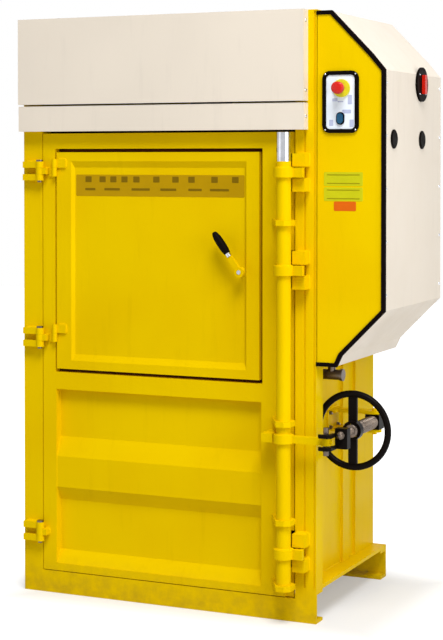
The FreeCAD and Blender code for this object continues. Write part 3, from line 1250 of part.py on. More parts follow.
def pill(at, front, radius, deep):
    """An upright bar with round ends, as deep as given, from its front towards the panel."""
    ends = [rod("Y", (at[0], front, f"{at[2]} {side} start_half"), radius, deep) for side in "+-"]
    middle = block(
        (f"{at[0]} - ({radius})", f"{at[0]} + ({radius})"),
        (front, f"{front} + {deep}"),
        (f"{at[2]} - start_half", f"{at[2]} + start_half"),
    )
    return fuse(middle, *ends)


def rounded(box, size):
    """Rounds the four edges of a box that run front to back."""
    doc.recompute()
    obj = doc.addObject("Part::Fillet", "Rounded")
    obj.Base = box
    deep = [
        number
        for number, edge in enumerate(box.Shape.Edges, start=1)
        if abs(abs(edge.tangentAt(edge.FirstParameter).y) - 1) < 1e-6
    ]
    obj.Edges = [(number, size, size) for number in deep]
    return obj


# ---------------------------------------------------------------- build and write
def build():
    for make in (
        base, body, chamber, press_plate, cylinder, bale_door, hinges, feed_door, feed_hinges, feed_latch,
        lock, bearings, keepers, swing_bracket, draw_gear, covers, cabinet, power_pack, side_fittings,
        controls,
    ):  # fmt: skip
        make()
    doc.recompute()


def write():
    faults = [o.Name for o in doc.Objects if {"Invalid", "Error"} & set(o.State)]
    for obj in NODES:
        shape = getattr(obj, "Shape", None)
        if shape is None or shape.isNull() or not shape.isValid() or not shape.Solids:
            faults.append(obj.Label)
    if faults:
        raise RuntimeError("failed: " + ", ".join(faults))
    os.makedirs("parts", exist_ok=True)
    for obj in NODES:
        obj.Shape.exportStep(f"parts/{obj.Label}.step")
    print(len(NODES), "pieces written")


build()
write()
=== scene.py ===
"""Looks of an upright recycling baler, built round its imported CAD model.

The file is laid out as an add-on and run as a script. The sidebar panel lists one operator for the finish of the
CAD nodes, one for each group of pieces that the CAD leaves out or has plainer, and one for the stage. Lengths are
metres in the CAD frame: +X to the right of someone who faces the doors, +Y into the machine, +Z up from the floor.
"""

import json
import math

import bpy
import numpy as np
from bpy.props import FloatProperty, FloatVectorProperty, IntProperty, PointerProperty
from bpy.types import Operator, Panel, PropertyGroup
from mathutils import Euler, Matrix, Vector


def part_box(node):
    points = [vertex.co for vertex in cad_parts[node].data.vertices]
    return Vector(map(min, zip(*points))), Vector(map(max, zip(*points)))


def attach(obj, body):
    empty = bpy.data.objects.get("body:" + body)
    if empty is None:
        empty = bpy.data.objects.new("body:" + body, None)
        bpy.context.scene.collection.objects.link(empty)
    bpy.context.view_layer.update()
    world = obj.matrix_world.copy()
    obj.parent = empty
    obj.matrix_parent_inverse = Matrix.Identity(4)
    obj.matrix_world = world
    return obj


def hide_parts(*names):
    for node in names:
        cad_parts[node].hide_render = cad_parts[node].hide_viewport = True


bl_info = {
    "name": "Recycling Baler",
    "version": (1, 0, 0),
    "blender": (4, 5, 0),
    "location": "View3D > Sidebar > Baler",
    "description": "Finishes, fasteners, welds and plates of an upright recycling baler",
    "category": "Object",
}

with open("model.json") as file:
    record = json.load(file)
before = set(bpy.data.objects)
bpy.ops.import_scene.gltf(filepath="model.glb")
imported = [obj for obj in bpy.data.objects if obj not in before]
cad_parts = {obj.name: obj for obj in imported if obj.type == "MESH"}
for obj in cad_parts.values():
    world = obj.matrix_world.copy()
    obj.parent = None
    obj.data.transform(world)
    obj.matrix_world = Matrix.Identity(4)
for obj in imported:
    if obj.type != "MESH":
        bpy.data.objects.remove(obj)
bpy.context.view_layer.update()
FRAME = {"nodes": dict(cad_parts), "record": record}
CAD = FRAME["nodes"]
SLOT_OF = {piece["node"]: piece["material_slot"] for piece in FRAME["record"]["subparts"]}

# ---------------- places, in metres
RIGHT, LEFT, BACK, FRONT = (1, 0, 0), (-1, 0, 0), (0, 1, 0), (0, -1, 0)

# Middles of the hooks on the lock shaft, and half their height.
HOOK_LEVELS, HOOK_HALF = (0.236, 1.155, 1.472), 0.016
# Foot and top of the cross arm, at its boss and at its pin.
ARM_BOSS, ARM_END = (0.5955, 0.6245), (0.598, 0.622)
# Feet of the belts across the rear wall, half their length, and their height.
BELT_LEVELS, BELT_HALF, BELT_TALL = (0.4, 0.9, 1.4), 0.464, 0.07
# Edges in y of the ribs up the side walls.
RIB_EDGES = (0.385, 0.445, 0.52)
# The handwheel's middle plane, half its spoke's width and thickness, and the rim's inner radius.
WHEEL_PLANE, SPOKE_HALF, SPOKE_THIN, RIM_INSIDE = 0.085, 0.015, 0.005, 0.1085
# Width of the panel's bezel, thickness of the swing bracket's foot, the nut's height, and half across its flats.
BEZEL, BRACKET, NUT_TALL, NUT_FLAT = 0.013, 0.008, 0.008, 0.012
# Radius of the ring of screws on the rotary switch's rose.
ROSE_RING = 0.046
# Lowest z, highest z and number of the screws at the cabinet's back on the right, on the left, and on its side.
CABINET_SCREWS = ((1.06, 1.77, 5), (1.1, 1.75, 4), (1.08, 1.76, 5))
# Middles in x of the louvres, the lowest one's height, and how many stand in a column.
LOUVRE_COLUMNS, LOUVRE_FOOT, LOUVRE_COUNT = (0.585, 0.7), 1.12, 8
# y and z of the folded panel's face, from the top down.
PANEL_FOLDS = (
    (0.028, 0.714), (0.028, 0.546), (0.002, 0.479), (0.002, 0.372), (0.028, 0.325), (0.028, 0.15), (0.002, 0.105),
)  # fmt: skip
# The latch's axis, its lever's lean in degrees, the grip's span from the axis, and radii by share of that span.
GRIP_PIVOT, GRIP_LEAN, GRIP_SPAN = (0.292, -0.032, 1.143), 36, (0.075, 0.161)
GRIP_RADII = ((0, 0.010), (0.17, 0.013), (0.46, 0.014), (0.81, 0.012), (0.95, 0.008))

# Plates, bars, marks and fields are rows of middle x, middle z, width and height.
PLATES = (
    ("plate_upper", "plate_film", (0.6425, 1.45075, 0.133, 0.0445)),
    ("plate_lower", "plate_film", (0.6425, 1.40175, 0.133, 0.0445)),
    ("plate_small", "notice_film", (0.648, 1.36325, 0.076, 0.0305)),
)
PLATE_BARS = tuple((0.6425, z, 0.112, 0.0032) for z in (1.4645, 1.437, 1.4155, 1.388))
BAND, BAND_LEVEL = (-0.0275, 1.425, 0.637, 0.074), 0.01
BAND_SQUARES = (-0.297, -0.242, -0.2, -0.157, -0.111, -0.035, 0.037, 0.097, 0.182, 0.258)
BAND_BARS = ((-0.29, 0.04), (-0.205, 0.06), (-0.095, 0.07), (0.01, 0.06), (0.11, 0.05), (0.2, 0.07))
BAND_MARKS = (
    *((x, 1.446, 0.024, 0.02) for x in BAND_SQUARES),
    *((x, 1.412, width, 0.008) for x, width in BAND_BARS),
)
PANEL_FIELDS = (
    (0.615, 1.706, 0.018, 0.01), (0.666, 1.706, 0.014, 0.03), (0.655, 1.668, 0.03, 0.012),
    (0.602, 1.632, 0.014, 0.02), (0.672, 1.63, 0.014, 0.024), (0.634, 1.7, 0.02, 0.004),
)  # fmt: skip


# ---------------- settings
def display_colour(red, green, blue):
    """The linear colour that shows as this 8-bit display colour."""
    parts = np.array([red, green, blue]) / 255
    return tuple(np.where(parts <= 0.04045, parts / 12.92, ((parts + 0.055) / 1.055) ** 2.4))


def shaded(colour, share):
    """The colour with each of its parts times a share."""
    return tuple(share * part for part in colour)


def colour_setting(name, description, *colour):
    default = display_colour(*colour)
    return FloatVectorProperty(name=name, description=description, default=default, subtype="COLOR", min=0, max=1)


def length_setting(name, description, default):
    return FloatProperty(name=name, description=description, default=default, min=0, unit="LENGTH")


def number_setting(name, description, default, **limits):
    return FloatProperty(name=name, description=description, default=default, **limits)


class FinishSettings(PropertyGroup):
    yellow: colour_setting("Yellow enamel", "Body, doors and cabinet front", 236, 199, 0)
    yellow_deep: colour_setting("Yellow in thin coats", "Slow drift of the enamel", 227, 184, 0)
    cream: colour_setting("Cream enamel", "Covers and cabinet shell", 233, 222, 206)
    black: colour_setting("Black enamel", "Handwheel, hook and swing block", 13, 8, 6)
    grey: colour_setting("Grey enamel", "Power pack", 120, 126, 130)
    steel: colour_setting("Bare steel", "Pins, screw and floor bars", 112, 100, 90)
    plating: colour_setting("Bright plating", "Sleeve, journal and cylinder rods", 214, 216, 222)
    rubber: colour_setting("Rubber", "Seal and cabinet edging", 16, 10, 10)
    seal: colour_setting("Old rubber", "Seal of the feed door", 92, 46, 14)
    panel_white: colour_setting("Panel sheet", "Control panel", 238, 246, 255)
    stop_red: colour_setting("Stop button", "Mushroom head", 205, 28, 12)
    collar_yellow: colour_setting("Stop collar", "Ring under the mushroom head", 232, 224, 40)
    start_teal: colour_setting("Start button", "Lens", 20, 84, 120)
    peel: length_setting("Orange peel", "Size of the enamel's ripple", 0.0035)
    # Height over which the enamel turns darker and browner, in patches, towards the floor.
    low_darkening_height: length_setting("Low darkening height", "How far the darker brown patches reach up from the floor", 0.16)


class StageSettings(PropertyGroup):
    eye: FloatVectorProperty(
        name="Eye", description="Camera place", default=(2.5272, -5.0807, 1.5131), size=3, subtype="TRANSLATION"
    )
    turn: number_setting("Turn", "Camera heading", math.radians(24.5), subtype="ANGLE")
    tilt: number_setting("Tilt", "Camera tilt down", math.radians(1.1), subtype="ANGLE")
    lens: number_setting("Lens", "Focal length", 94.5, unit="CAMERA")
    rise: number_setting("Rise", "Upward shift of the picture", -0.2)
    key: number_setting("Key light", "Power of the large high light", 628, min=0)
    fill: number_setting("Fill light", "Power of the light on the left", 21, min=0)
    side: number_setting("Side light", "Power of the light on the right", 74, min=0)
    sky: number_setting("Surroundings", "Strength of the even light", 0.24, min=0)


class WeldSettings(PropertyGroup):
    bead: length_setting("Bead", "Radius of a weld bead", 0.0026)
    pitch: length_setting("Pitch", "Length of one ripple", 0.0055)
    step: length_setting("Step", "Spacing of a bead's rings", 0.0018)
    ripple: number_setting("Ripple", "Share of the radius", 0.14, min=0, max=1)
    stitch: length_setting("Stitch", "Length of one stitch", 0.045)
    stitch_gap: length_setting("Gap", "Space between two stitches", 0.085)


class FastenerSettings(PropertyGroup):
    head: length_setting("Head", "Across a button head", 0.0115)
    bolt: length_setting("Bolt", "Across the flats of a hexagon head", 0.013)
    inset: length_setting("Inset", "Screws in from an edge", 0.016)


class ThreadSettings(PropertyGroup):
    radius: length_setting("Radius", "Outside of the thread", 0.011)
    depth: length_setting("Depth", "Depth of the thread", 0.0022)
    lead: length_setting("Lead", "Advance in one turn", 0.006)
    proud: length_setting("End", "Screw past its nut", 0.007)


class TurningSettings(PropertyGroup):
    ease: length_setting("Edge", "Radius of a boss's edges", 0.0014)
    skin: length_setting("Skin", "Boss past the plain ring it covers", 0.0003)
    facets: IntProperty(name="Facets", description="Steps round a boss", default=72, min=12)


class PlateSettings(PropertyGroup):
    thick: length_setting("Thickness", "Plates and films", 0.0006)
    corner: length_setting("Corner", "Radius of a plate's corner", 0.004)
    louvre_gap: length_setting("Louvre spacing", "One louvre to the next", 0.036)


# ---------------- material boards
class Board:
    """A material with short ways to add nodes and join their sockets."""

    def __init__(self, name):
        self.material = bpy.data.materials.new("baler_" + name)
        self.material.use_nodes = True
        self.tree = self.material.node_tree
        self.shader = self.tree.nodes["Principled BSDF"]
        self.place = self.add("ShaderNodeTexCoord").outputs["Object"]

    def add(self, kind, values=None, **settings):
        """A node with its settings, and its input sockets set or joined."""
        node = self.tree.nodes.new(kind)
        for name, value in settings.items():
            setattr(node, name, value)
        for name, value in (values or {}).items():
            self.feed(node.inputs[name], value)
        return node

    def feed(self, socket, value):
        """Joins a socket to another one, or sets its number, vector or colour."""
        if isinstance(value, bpy.types.NodeSocket):
            self.tree.links.new(value, socket)
        else:
            socket.default_value = (*value, 1) if socket.type == "RGBA" else value

    def noise(self, scale, detail=3.0, roughness=0.5, stretch=(1, 1, 1)):
        place = self.place
        if stretch != (1, 1, 1):
            place = self.add("ShaderNodeMapping", {"Vector": place, "Scale": stretch}).outputs[0]
        values = {"Vector": place, "Scale": scale, "Detail": detail, "Roughness": roughness}
        return self.add("ShaderNodeTexNoise", values).outputs["Fac"]

    def ramp(self, factor, low, high, start=0.0, end=1.0):
        """A smooth step of factor from low..high to start..end."""
        values = {"Value": factor, "From Min": low, "From Max": high, "To Min": start, "To Max": end}
        return self.add("ShaderNodeMapRange", values, interpolation_type="SMOOTHSTEP").outputs["Result"]

    def mix(self, factor, first, second):
        """One colour over another: the node's colour sockets are 6 and 7, and 2 going out."""
        return self.add("ShaderNodeMix", {0: factor, 6: first, 7: second}, data_type="RGBA").outputs[2]

    def maths(self, operation, *values):
        return self.add("ShaderNodeMath", dict(enumerate(values)), operation=operation).outputs[0]

    def product(self, total, *factors):
        for factor in factors:
            total = self.maths("MULTIPLY", total, factor)
        return total

    def axis(self, name):
        return self.add("ShaderNodeSeparateXYZ", {"Vector": self.place}).outputs[name]

    def bump(self, height, depth):
        """Joins a height, worth depth metres from 0 to 1, to the shader's normal."""
        node = self.add("ShaderNodeBump", {"Strength": 1.0, "Distance": depth, "Height": height})
        self.feed(self.shader.inputs["Normal"], node.outputs["Normal"])

    def finish(self, **values):
        """Feeds the shader's sockets, in whose names _ stands for a space."""
        for name, value in values.items():
            self.feed(self.shader.inputs[name.replace("_", " ")], value)
        return self.material


# The second colour is the darker brown that the enamel takes, in patches, towards the floor.
SCUFF, LOW_DARK_BROWN, WEAR = (display_colour(*colour) for colour in ((138, 120, 84), (128, 98, 40), (96, 74, 58)))
# An axis of the chamber, and the places along it at which scuffs begin and at which they are whole. Across the
# machine, both are distances from its middle.
SCUFFS_ACROSS = (0.4855, 0.4835)
SCUFFS_ALONG = (("Y", 0.03, 0.068), ("Y", 0.6945, 0.6935), ("Z", 1.6, 1.1))


def inside_mask(board):
    """Scratches, long along X, on faces within the chamber where bales rub."""
    room = [board.ramp(board.axis(axis), begin, whole) for axis, begin, whole in SCUFFS_ALONG]
    room.append(board.ramp(board.maths("ABSOLUTE", board.axis("X")), *SCUFFS_ACROSS))
    scratches = board.ramp(board.noise(34, 6.0, 0.7, (0.12, 0.12, 1)), 0.5, 0.66)
    patches = board.ramp(board.noise(3.4, 4.0, 0.6), 0.38, 0.62)
    return board.product(*room, scratches, patches)


def enamel(name, colour, deep, settings, gloss, tint=(1, 1, 1), level=0.35, scuffs=0.0):
    """Sprayed enamel: slow drift of thickness, orange peel, faint streaks, and darker brown patches towards the
    floor.
    """
    board = Board(name)
    base = board.mix(board.ramp(board.noise(2.3, 2.0), 0.35, 0.7, 0.0, 0.55), colour, deep)
    streaks = board.ramp(board.noise(26, 4.0, 0.6, (1, 1, 0.12)), 0.52, 0.8, 0.0, 0.22)
    base = board.mix(streaks, base, shaded(deep, 0.82))
    if scuffs:
        base = board.mix(board.product(inside_mask(board), scuffs), base, SCUFF)
    # Darker brown patches, strongest at the floor and gone at the set height.
    low = board.ramp(board.axis("Z"), 0.0, settings.low_darkening_height, 0.4, 0.0)
    base = board.mix(board.product(low, board.ramp(board.noise(24, 5.0, 0.6), 0.2, 0.8)), base, LOW_DARK_BROWN)
    rough = board.ramp(board.noise(9, 4.0, 0.6), 0.3, 0.75, gloss - 0.06, gloss + 0.12)
    board.bump(board.noise(1 / settings.peel, 2.0), 0.00012)
    return board.finish(Base_Color=base, Roughness=rough, Specular_IOR_Level=level, Specular_Tint=tint)


def bare_steel(name, colour, rough, along, scuffs=0.0):
    """Machined steel: fine lines along one axis, mottled roughness, and brown scuffs where it is worn."""
    board = Board(name)
    lines = board.noise(900, 2.0, 0.5, tuple(0.04 if axis == along else 1 for axis in "XYZ"))
    base = board.mix(board.ramp(board.noise(12, 4.0), 0.3, 0.7), colour, shaded(colour, 0.7))
    base = board.mix(board.ramp(board.noise(30, 6.0, 0.7), 0.5, 0.72, 0.0, scuffs), base, WEAR)
    board.bump(lines, 0.000012)
    surface = board.ramp(lines, 0.3, 0.7, rough - 0.08, rough + 0.1)
    return board.finish(Base_Color=base, Metallic=1.0, Roughness=surface)


def moulded(name, colour, rough, shade=0.8, level=0.3):
    """Moulded plastic, rubber or film: a fine grain and a faint drift of colour."""
    board, grain = Board(name), 0.0008
    base = board.mix(board.ramp(board.noise(18, 3.0), 0.35, 0.7), colour, shaded(colour, shade))
    board.bump(board.noise(1 / grain, 2.0), 0.00005)
    surface = board.ramp(board.noise(60, 3.0), 0.3, 0.7, rough - 0.05, rough + 0.08)
    return board.finish(Base_Color=base, Roughness=surface, Specular_IOR_Level=level)


# Display colour, roughness, shade of the drift and specular level.
FILMS = {
    "plate_film": ((200, 199, 22), 0.4, 0.96, 0.08),
    "notice_film": ((222, 102, 16), 0.4, 0.96, 0.08),
    "bar_film": ((158, 150, 14), 0.4, 0.96, 0.05),
    "band_film": ((186, 146, 4), 0.4, 0.96, 0.05),
    "mark_film": ((128, 100, 8), 0.45, 0.96, 0.05),
    "field_film": ((190, 198, 226), 0.4, 0.95, 0.1),
}


def make_finishes(settings):
    """A finish for each of the record's material slots, and for the sleeve's thread and the films."""
    enamel("yellow_paint", settings.yellow, settings.yellow_deep, settings, 0.36, (1.0, 0.8, 0.2), 0.02, 0.8)
    enamel("cream_paint", settings.cream, shaded(settings.cream, 0.93), settings, 0.45, level=0.2)
    enamel("black_paint", settings.black, shaded(settings.black, 0.6), settings, 0.32, level=0.04)
    enamel("grey_paint", settings.grey, shaded(settings.grey, 0.85), settings, 0.4)
    bare_steel("steel", settings.steel, 0.32, "Z")
    bare_steel("bright_steel", settings.plating, 0.16, "Y")
    bare_steel("worn_steel", settings.steel, 0.42, "Y", 0.6)
    bare_steel("thread_steel", settings.steel, 0.3, "X", 0.5)
    moulded("rubber", settings.rubber, 0.7, level=0.02)
    moulded("seal_rubber", settings.seal, 0.75, level=0.1)
    moulded("black_plastic", settings.black, 0.5, level=0.03)
    moulded("white_plastic", settings.panel_white, 0.4, shade=1.0)
    moulded("red_plastic", settings.stop_red, 0.25)
    moulded("yellow_plastic", settings.collar_yellow, 0.4)
    moulded("green_plastic", settings.start_teal, 0.2)
    for name, (colour, *surface) in FILMS.items():
        moulded(name, display_colour(*colour), *surface)


def give_finish(piece, name):
    piece.data.materials.clear()
    piece.data.materials.append(bpy.data.materials["baler_" + name])


class BALER_OT_finish(Operator):
    """Give every CAD node the finish of its material slot"""

    bl_idname = "baler.finish"
    bl_label = "Finishes"

    def execute(self, context):
        make_finishes(context.scene.baler_finish)
        for name, piece in CAD.items():
            give_finish(piece, SLOT_OF[name])
        return {"FINISHED"}


# ---------------- stage
# Place, aim and size of each light, whose power is the setting of its name.
LIGHTS = {
    "key": ((2.7, -4.1, 8.1), (0.2, 0.0, 1.0), (3.8, 3.2)),
    "fill": ((-3.6, -4.6, 1.9), (0.0, 0.0, 1.0), (3.0, 3.0)),
    "side": ((3.9, -1.3, 1.9), (0.4, 0.2, 1.1), (2.6, 2.6)),
}
# Half the floor's side, its points along a side, and its drop below the feet.
FLOOR_HALF, FLOOR_POINTS, FLOOR_DROP = 12.0, 5, 0.0005
# Middle and half length, along x and y, of the ground on which the baler's shadow shows.
SHADED_GROUND = (("X", 0.12, 0.68), ("Y", 0.31, 0.42))
# How far past that ground the floor's glow begins and is whole, and its strength at both.
GLOW = (-0.12, 0.26, 0.3, 1.0)


def add_light(name, place, aim, size, power):
    light = bpy.data.lights.new(name, "AREA")
    light.shape = "RECTANGLE"
    light.size, light.size_y = size
    light.energy = power
    holder = bpy.data.objects.new(name, light)
    holder.location = place
    way = np.subtract(aim, place)
    steep, heading = math.acos(-way[2] / np.linalg.norm(way)), math.atan2(way[1], way[0])
    holder.rotation_euler = (steep, 0, heading - math.pi / 2)
    bpy.context.scene.collection.objects.link(holder)


def seen_rays(tree):
    """1 for rays that come straight from the camera, or by gloss and glass, else 0."""
    path = tree.nodes.new("ShaderNodeLightPath")
    total = path.outputs["Is Camera Ray"]
    for name in ("Is Glossy Ray", "Is Transmission Ray"):
        join = tree.nodes.new("ShaderNodeMath")
        join.operation = "MAXIMUM"
        tree.links.new(total, join.inputs[0])
        tree.links.new(path.outputs[name], join.inputs[1])
        total = join.outputs[0]
    return total


class BALER_OT_stage(Operator):
    """Lay the pale floor, light it softly and place the camera"""

    bl_idname = "baler.stage"
    bl_label = "Stage"

    def execute(self, context):
        scene, stage = context.scene, context.scene.baler_stage
        scene.view_settings.view_transform = "Standard"
        self.add_floor()
        self.add_world(scene, stage)
        for name, (place, aim, size) in LIGHTS.items():
            add_light(name, place, aim, size, getattr(stage, name))
        self.add_camera(scene, stage)
        return {"FINISHED"}

    def add_floor(self):
        """A flat grid: x and y run over a square, z is its drop. It glows white beyond the baler's shadow."""
        line = np.linspace(-FLOOR_HALF, FLOOR_HALF, FLOOR_POINTS)
        across, along = np.meshgrid(line, line)
        points = np.stack([across.ravel(), along.ravel(), np.full(across.size, -FLOOR_DROP)], 1)
        floor = mesh_object("floor", points, grid_faces(FLOOR_POINTS, FLOOR_POINTS))
        board = Board("pale_floor")
        beyond = board.maths("MAXIMUM", *(self.past(board, *strip) for strip in SHADED_GROUND))
        glow = board.product(seen_rays(board.tree), board.ramp(beyond, *GLOW))
        values = {"Base_Color": (0.6, 0.6, 0.6), "Emission_Color": (1, 1, 1), "Emission_Strength": glow}
        floor.data.materials.append(board.finish(Roughness=0.9, Specular_IOR_Level=0.0, **values))

    def past(self, board, axis, middle, half):
        """How far a place lies past a strip, along one axis."""
        off = board.maths("ABSOLUTE", board.maths("SUBTRACT", board.axis(axis), middle))
        return board.maths("SUBTRACT", off, half)

    def add_world(self, scene, stage):
        """White where the camera, gloss or glass sees it, and an even pale light elsewhere."""
        scene.world = bpy.data.worlds.new("surroundings")
        scene.world.use_nodes = True
        tree = scene.world.node_tree
        soft, white = tree.nodes["Background"], tree.nodes.new("ShaderNodeEmission")
        soft.inputs["Color"].default_value = (1, 1, 1, 1)
        soft.inputs["Strength"].default_value = stage.sky
        mix = tree.nodes.new("ShaderNodeMixShader")
        for i, socket in enumerate((seen_rays(tree), soft.outputs[0], white.outputs[0])):
            tree.links.new(socket, mix.inputs[i])
        tree.links.new(mix.outputs[0], tree.nodes["World Output"].inputs["Surface"])

    def add_camera(self, scene, stage):
        camera = bpy.data.objects.new("camera", bpy.data.cameras.new("camera"))
        camera.data.sensor_fit = "VERTICAL"
        camera.data.sensor_height = 36
        camera.data.lens = stage.lens
        camera.data.shift_y = stage.rise
        camera.data.clip_end = 100
        camera.location = stage.eye
        camera.rotation_euler = Euler((math.pi / 2 - stage.tilt, 0, stage.turn))
        scene.collection.objects.link(camera)
        scene.camera = camera


# ---------------- meshes
def grid_faces(rows, columns, closed_rows=False, closed_columns=False):
    """Quads over a grid of rows by columns, whose last row or column may join the first."""
    row = np.arange(rows if closed_rows else rows - 1)[:, None]
    column = np.arange(columns if closed_columns else columns - 1)[None, :]
    below, beside = (row + 1) % rows * columns, (column + 1) % columns
    corners = (row * columns + column, row * columns + beside, below + beside, below + column)
    return np.stack([np.broadcast_to(c, (row.size, column.size)) for c in corners], -1).reshape(-1, 4)


def mesh_object(name, points, faces, smooth=False):
    """An object at the origin with these points and faces."""
    mesh = bpy.data.meshes.new(name)
    mesh.from_pydata(np.asarray(points, float).tolist(), [], [list(face) for face in faces])
    mesh.polygons.foreach_set("use_smooth", np.full(len(mesh.polygons), smooth))
    mesh.update()
    piece = bpy.data.objects.new(name, mesh)
    bpy.context.scene.collection.objects.link(piece)
    return piece


def enclosed(points, faces):
    """Six times the volume within faces, cut into triangles from their first corner: the sum of a . (b x c)."""
    first, *others = (points[faces[:, i]] for i in range(faces.shape[1]))
    return sum(np.einsum("ij,ij->", first, np.cross(b, c)) for b, c in zip(others, others[1:]))


class Pile:
    """Closed surfaces gathered into one mesh."""

    def __init__(self):
        self.points, self.faces, self.count = [], [], 0

    def add(self, points, quads, fans=None):
        """Closed skins: points of (copies, count, 3), quads over one copy, and triangles at its poles."""
        copies = points.reshape(-1, *points.shape[-2:])
        shell = quads if fans is None else np.concatenate([quads, fans[:, [0, 1, 2, 2]]])
        forward = enclosed(copies[0] - copies[0].mean(0), shell) > 0
        for skin in (quads, fans):
            if skin is not None:
                skin = skin if forward else skin[:, ::-1]
                starts = self.count + np.arange(len(copies))[:, None, None] * copies.shape[1]
                self.faces += (skin[None] + starts).reshape(-1, skin.shape[1]).tolist()
        self.points.append(copies.reshape(-1, 3))
        self.count += copies.shape[0] * copies.shape[1]

    def rings(self, rings, first, last, places=None):
        """Rings of (rows, columns, 3) closed by a pole before the first and one after the last."""
        rows, columns = rings.shape[:2]
        points = np.concatenate([rings.reshape(-1, 3), [first, last]])
        step, size = np.arange(columns), rows * columns
        beside = (step + 1) % columns
        start = np.stack([np.full(columns, size), beside, step], 1)
        end = np.stack([np.full(columns, size + 1), size - columns + step, size - columns + beside], 1)
        if places is not None:
            points = points @ np.swapaxes(places[:, :3, :3], 1, 2) + places[:, None, :3, 3]
        self.add(points, grid_faces(rows, columns, closed_columns=True), np.concatenate([start, end]))

    def upright(self, rings, low, high, places):
        """Rings about local z, closed by poles on that axis at two heights."""
        self.rings(rings, (0, 0, low), (0, 0, high), places)

    def loop(self, rings):
        """Rings of (rows, columns, 3) whose last row joins the first."""
        rows, columns = rings.shape[:2]
        self.add(rings.reshape(-1, 3), grid_faces(rows, columns, True, True))

    def piece(self, name, body, slot=None, finish=None, smooth=True):
        """The gathered mesh as an object that moves with a body, in a slot's finish or another one."""
        piece = mesh_object(name, np.concatenate(self.points), self.faces, smooth)
        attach(piece, body)
        give_finish(piece, finish or slot)
        return piece


def even_normals(piece):
    """Lets large faces keep their own normal beside small ones."""
    piece.modifiers.new("even_normals", "WEIGHTED_NORMAL")


def span(node, axis):
    """Low and high of a CAD node's box along an axis."""
    number = "xyz".index(axis)
    return tuple(corner[number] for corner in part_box(node))


def middle(node):
    return np.mean(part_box(node), 0)


def radius(node):
    """Radius of a round CAD node whose axis isn't along X."""
    return np.ptp(span(node, "x")) / 2


def place_on(spots, across, out):
    """4x4 placements at spots: local x runs along across, local z along out."""
    across, out = np.asarray(across, float), np.asarray(out, float)
    places = np.tile(np.eye(4), (len(spots), 1, 1))
    places[:, :3, :3] = np.stack([across, np.cross(out, across), out], 1)
    places[:, :3, 3] = spots
    return places


def on_line(node, y, out=BACK):
    """A placement on the line along Y through a CAD node's middle."""
    x, _, z = middle(node)
    return place_on([(x, y, z)], RIGHT, out)


def circle(count):
    """Even angles round a circle, from 0."""
    return np.linspace(0, 2 * math.pi, count, endpoint=False)


def hexagon(angle):
    """Radius of a hexagon of unit flats at an angle: 1 / cos of the angle to the nearest flat."""
    return 1 / np.cos((angle + math.pi / 6) % (math.pi / 3) - math.pi / 6)


def spun(profile, columns=36):
    """Rings from rows of radius, height and hexness: r(a) = radius * (1 + hexness * (hexagon(a) - 1))."""
    angle = circle(columns)
    reach, height, hexness = np.asarray(profile, float).T[:, :, None]
    reach = reach * (1 + hexness * (hexagon(angle) - 1))
    return np.stack([reach * np.cos(angle), reach * np.sin(angle), np.broadcast_to(height, reach.shape)], -1)


def rounded_outline(width, height, corner, steps=6):
    """Points round a rectangle with round corners: each corner's arc about its own centre."""
    angle = (np.linspace(0, math.pi / 2, steps) + np.arange(4)[:, None] * math.pi / 2).ravel()
    side = np.repeat([[1, 1], [-1, 1], [-1, -1], [1, -1]], steps, 0)
    centres = side * [width / 2 - corner, height / 2 - corner]
    return centres + corner * np.stack([np.cos(angle), np.sin(angle)], 1)


# ---------------- welds
BEAD_COLUMNS = 8
NO_BEAD_ALONG = (0.3, 0.5, 0.81)  # a direction that no bead has
FLAT = 1e-4  # how far off a plane a corner may lie and still count as on it
STITCH_CLEAR = 0.03  # from the end of a rib to its stitches
FOLD_SHARE, PIN_SHARE = 0.55, 0.7  # thinner beads over the panel's folds and round the catch pin


def bead(pile, start, end, settings, share=1.0):
    """A straight bead: r(s) = R * (1 + ripple * |sin(pi s / pitch)|) * sqrt(1 - e^2), e up to 1 at both ends."""
    start, end = np.asarray(start, float), np.asarray(end, float)
    thick, length = share * settings.bead, np.linalg.norm(end - start)
    along = (end - start) / length
    rows = max(8, int(length / settings.step))
    run = np.linspace(0, length, rows + 2)[1:-1]
    close = np.clip(1 - np.minimum(run, length - run) / (2 * thick), 0, 1)
    ripples = 1 + settings.ripple * np.abs(np.sin(math.pi * run / settings.pitch))
    reach = thick * ripples * np.sqrt(1 - close**2)
    side = np.cross(along, NO_BEAD_ALONG)
    side /= np.linalg.norm(side)
    angle = circle(BEAD_COLUMNS)[:, None]
    ring = np.cos(angle) * side + np.sin(angle) * np.cross(along, side)
    pile.rings(start + along * run[:, None, None] + reach[:, None, None] * ring, start, end)


def stitch_beads(pile, start, end, settings):
    """Even stitches of a bead with even gaps, in the middle of the line between two points."""
    start, line = np.asarray(start, float), np.subtract(end, start)
    length, pitch = np.linalg.norm(line), settings.stitch + settings.stitch_gap
    count = int((length + settings.stitch_gap) // pitch)
    first = (length + settings.stitch_gap - count * pitch) / 2
    for low in first + pitch * np.arange(count):
        bead(pile, *(start + run / length * line for run in (low, low + settings.stitch)), settings)


def ring_bead(pile, centre, inside, settings, share=1.0):
    """A bead round an upright shaft: (inside + r(t) cos b) * (cos t, sin t) across, and r(t) sin b up."""
    turn = circle(max(24, int(2 * math.pi * inside / settings.step)))[:, None]
    waves = max(6, round(math.pi * inside / settings.pitch)) * 2
    reach = share * settings.bead * (1 + settings.ripple * np.abs(np.sin(turn * waves / 2)))
    angle = circle(BEAD_COLUMNS)
    out = inside + reach * np.cos(angle)
    pile.loop(np.asarray(centre) + np.stack([out * np.cos(turn), out * np.sin(turn), reach * np.sin(angle)], -1))


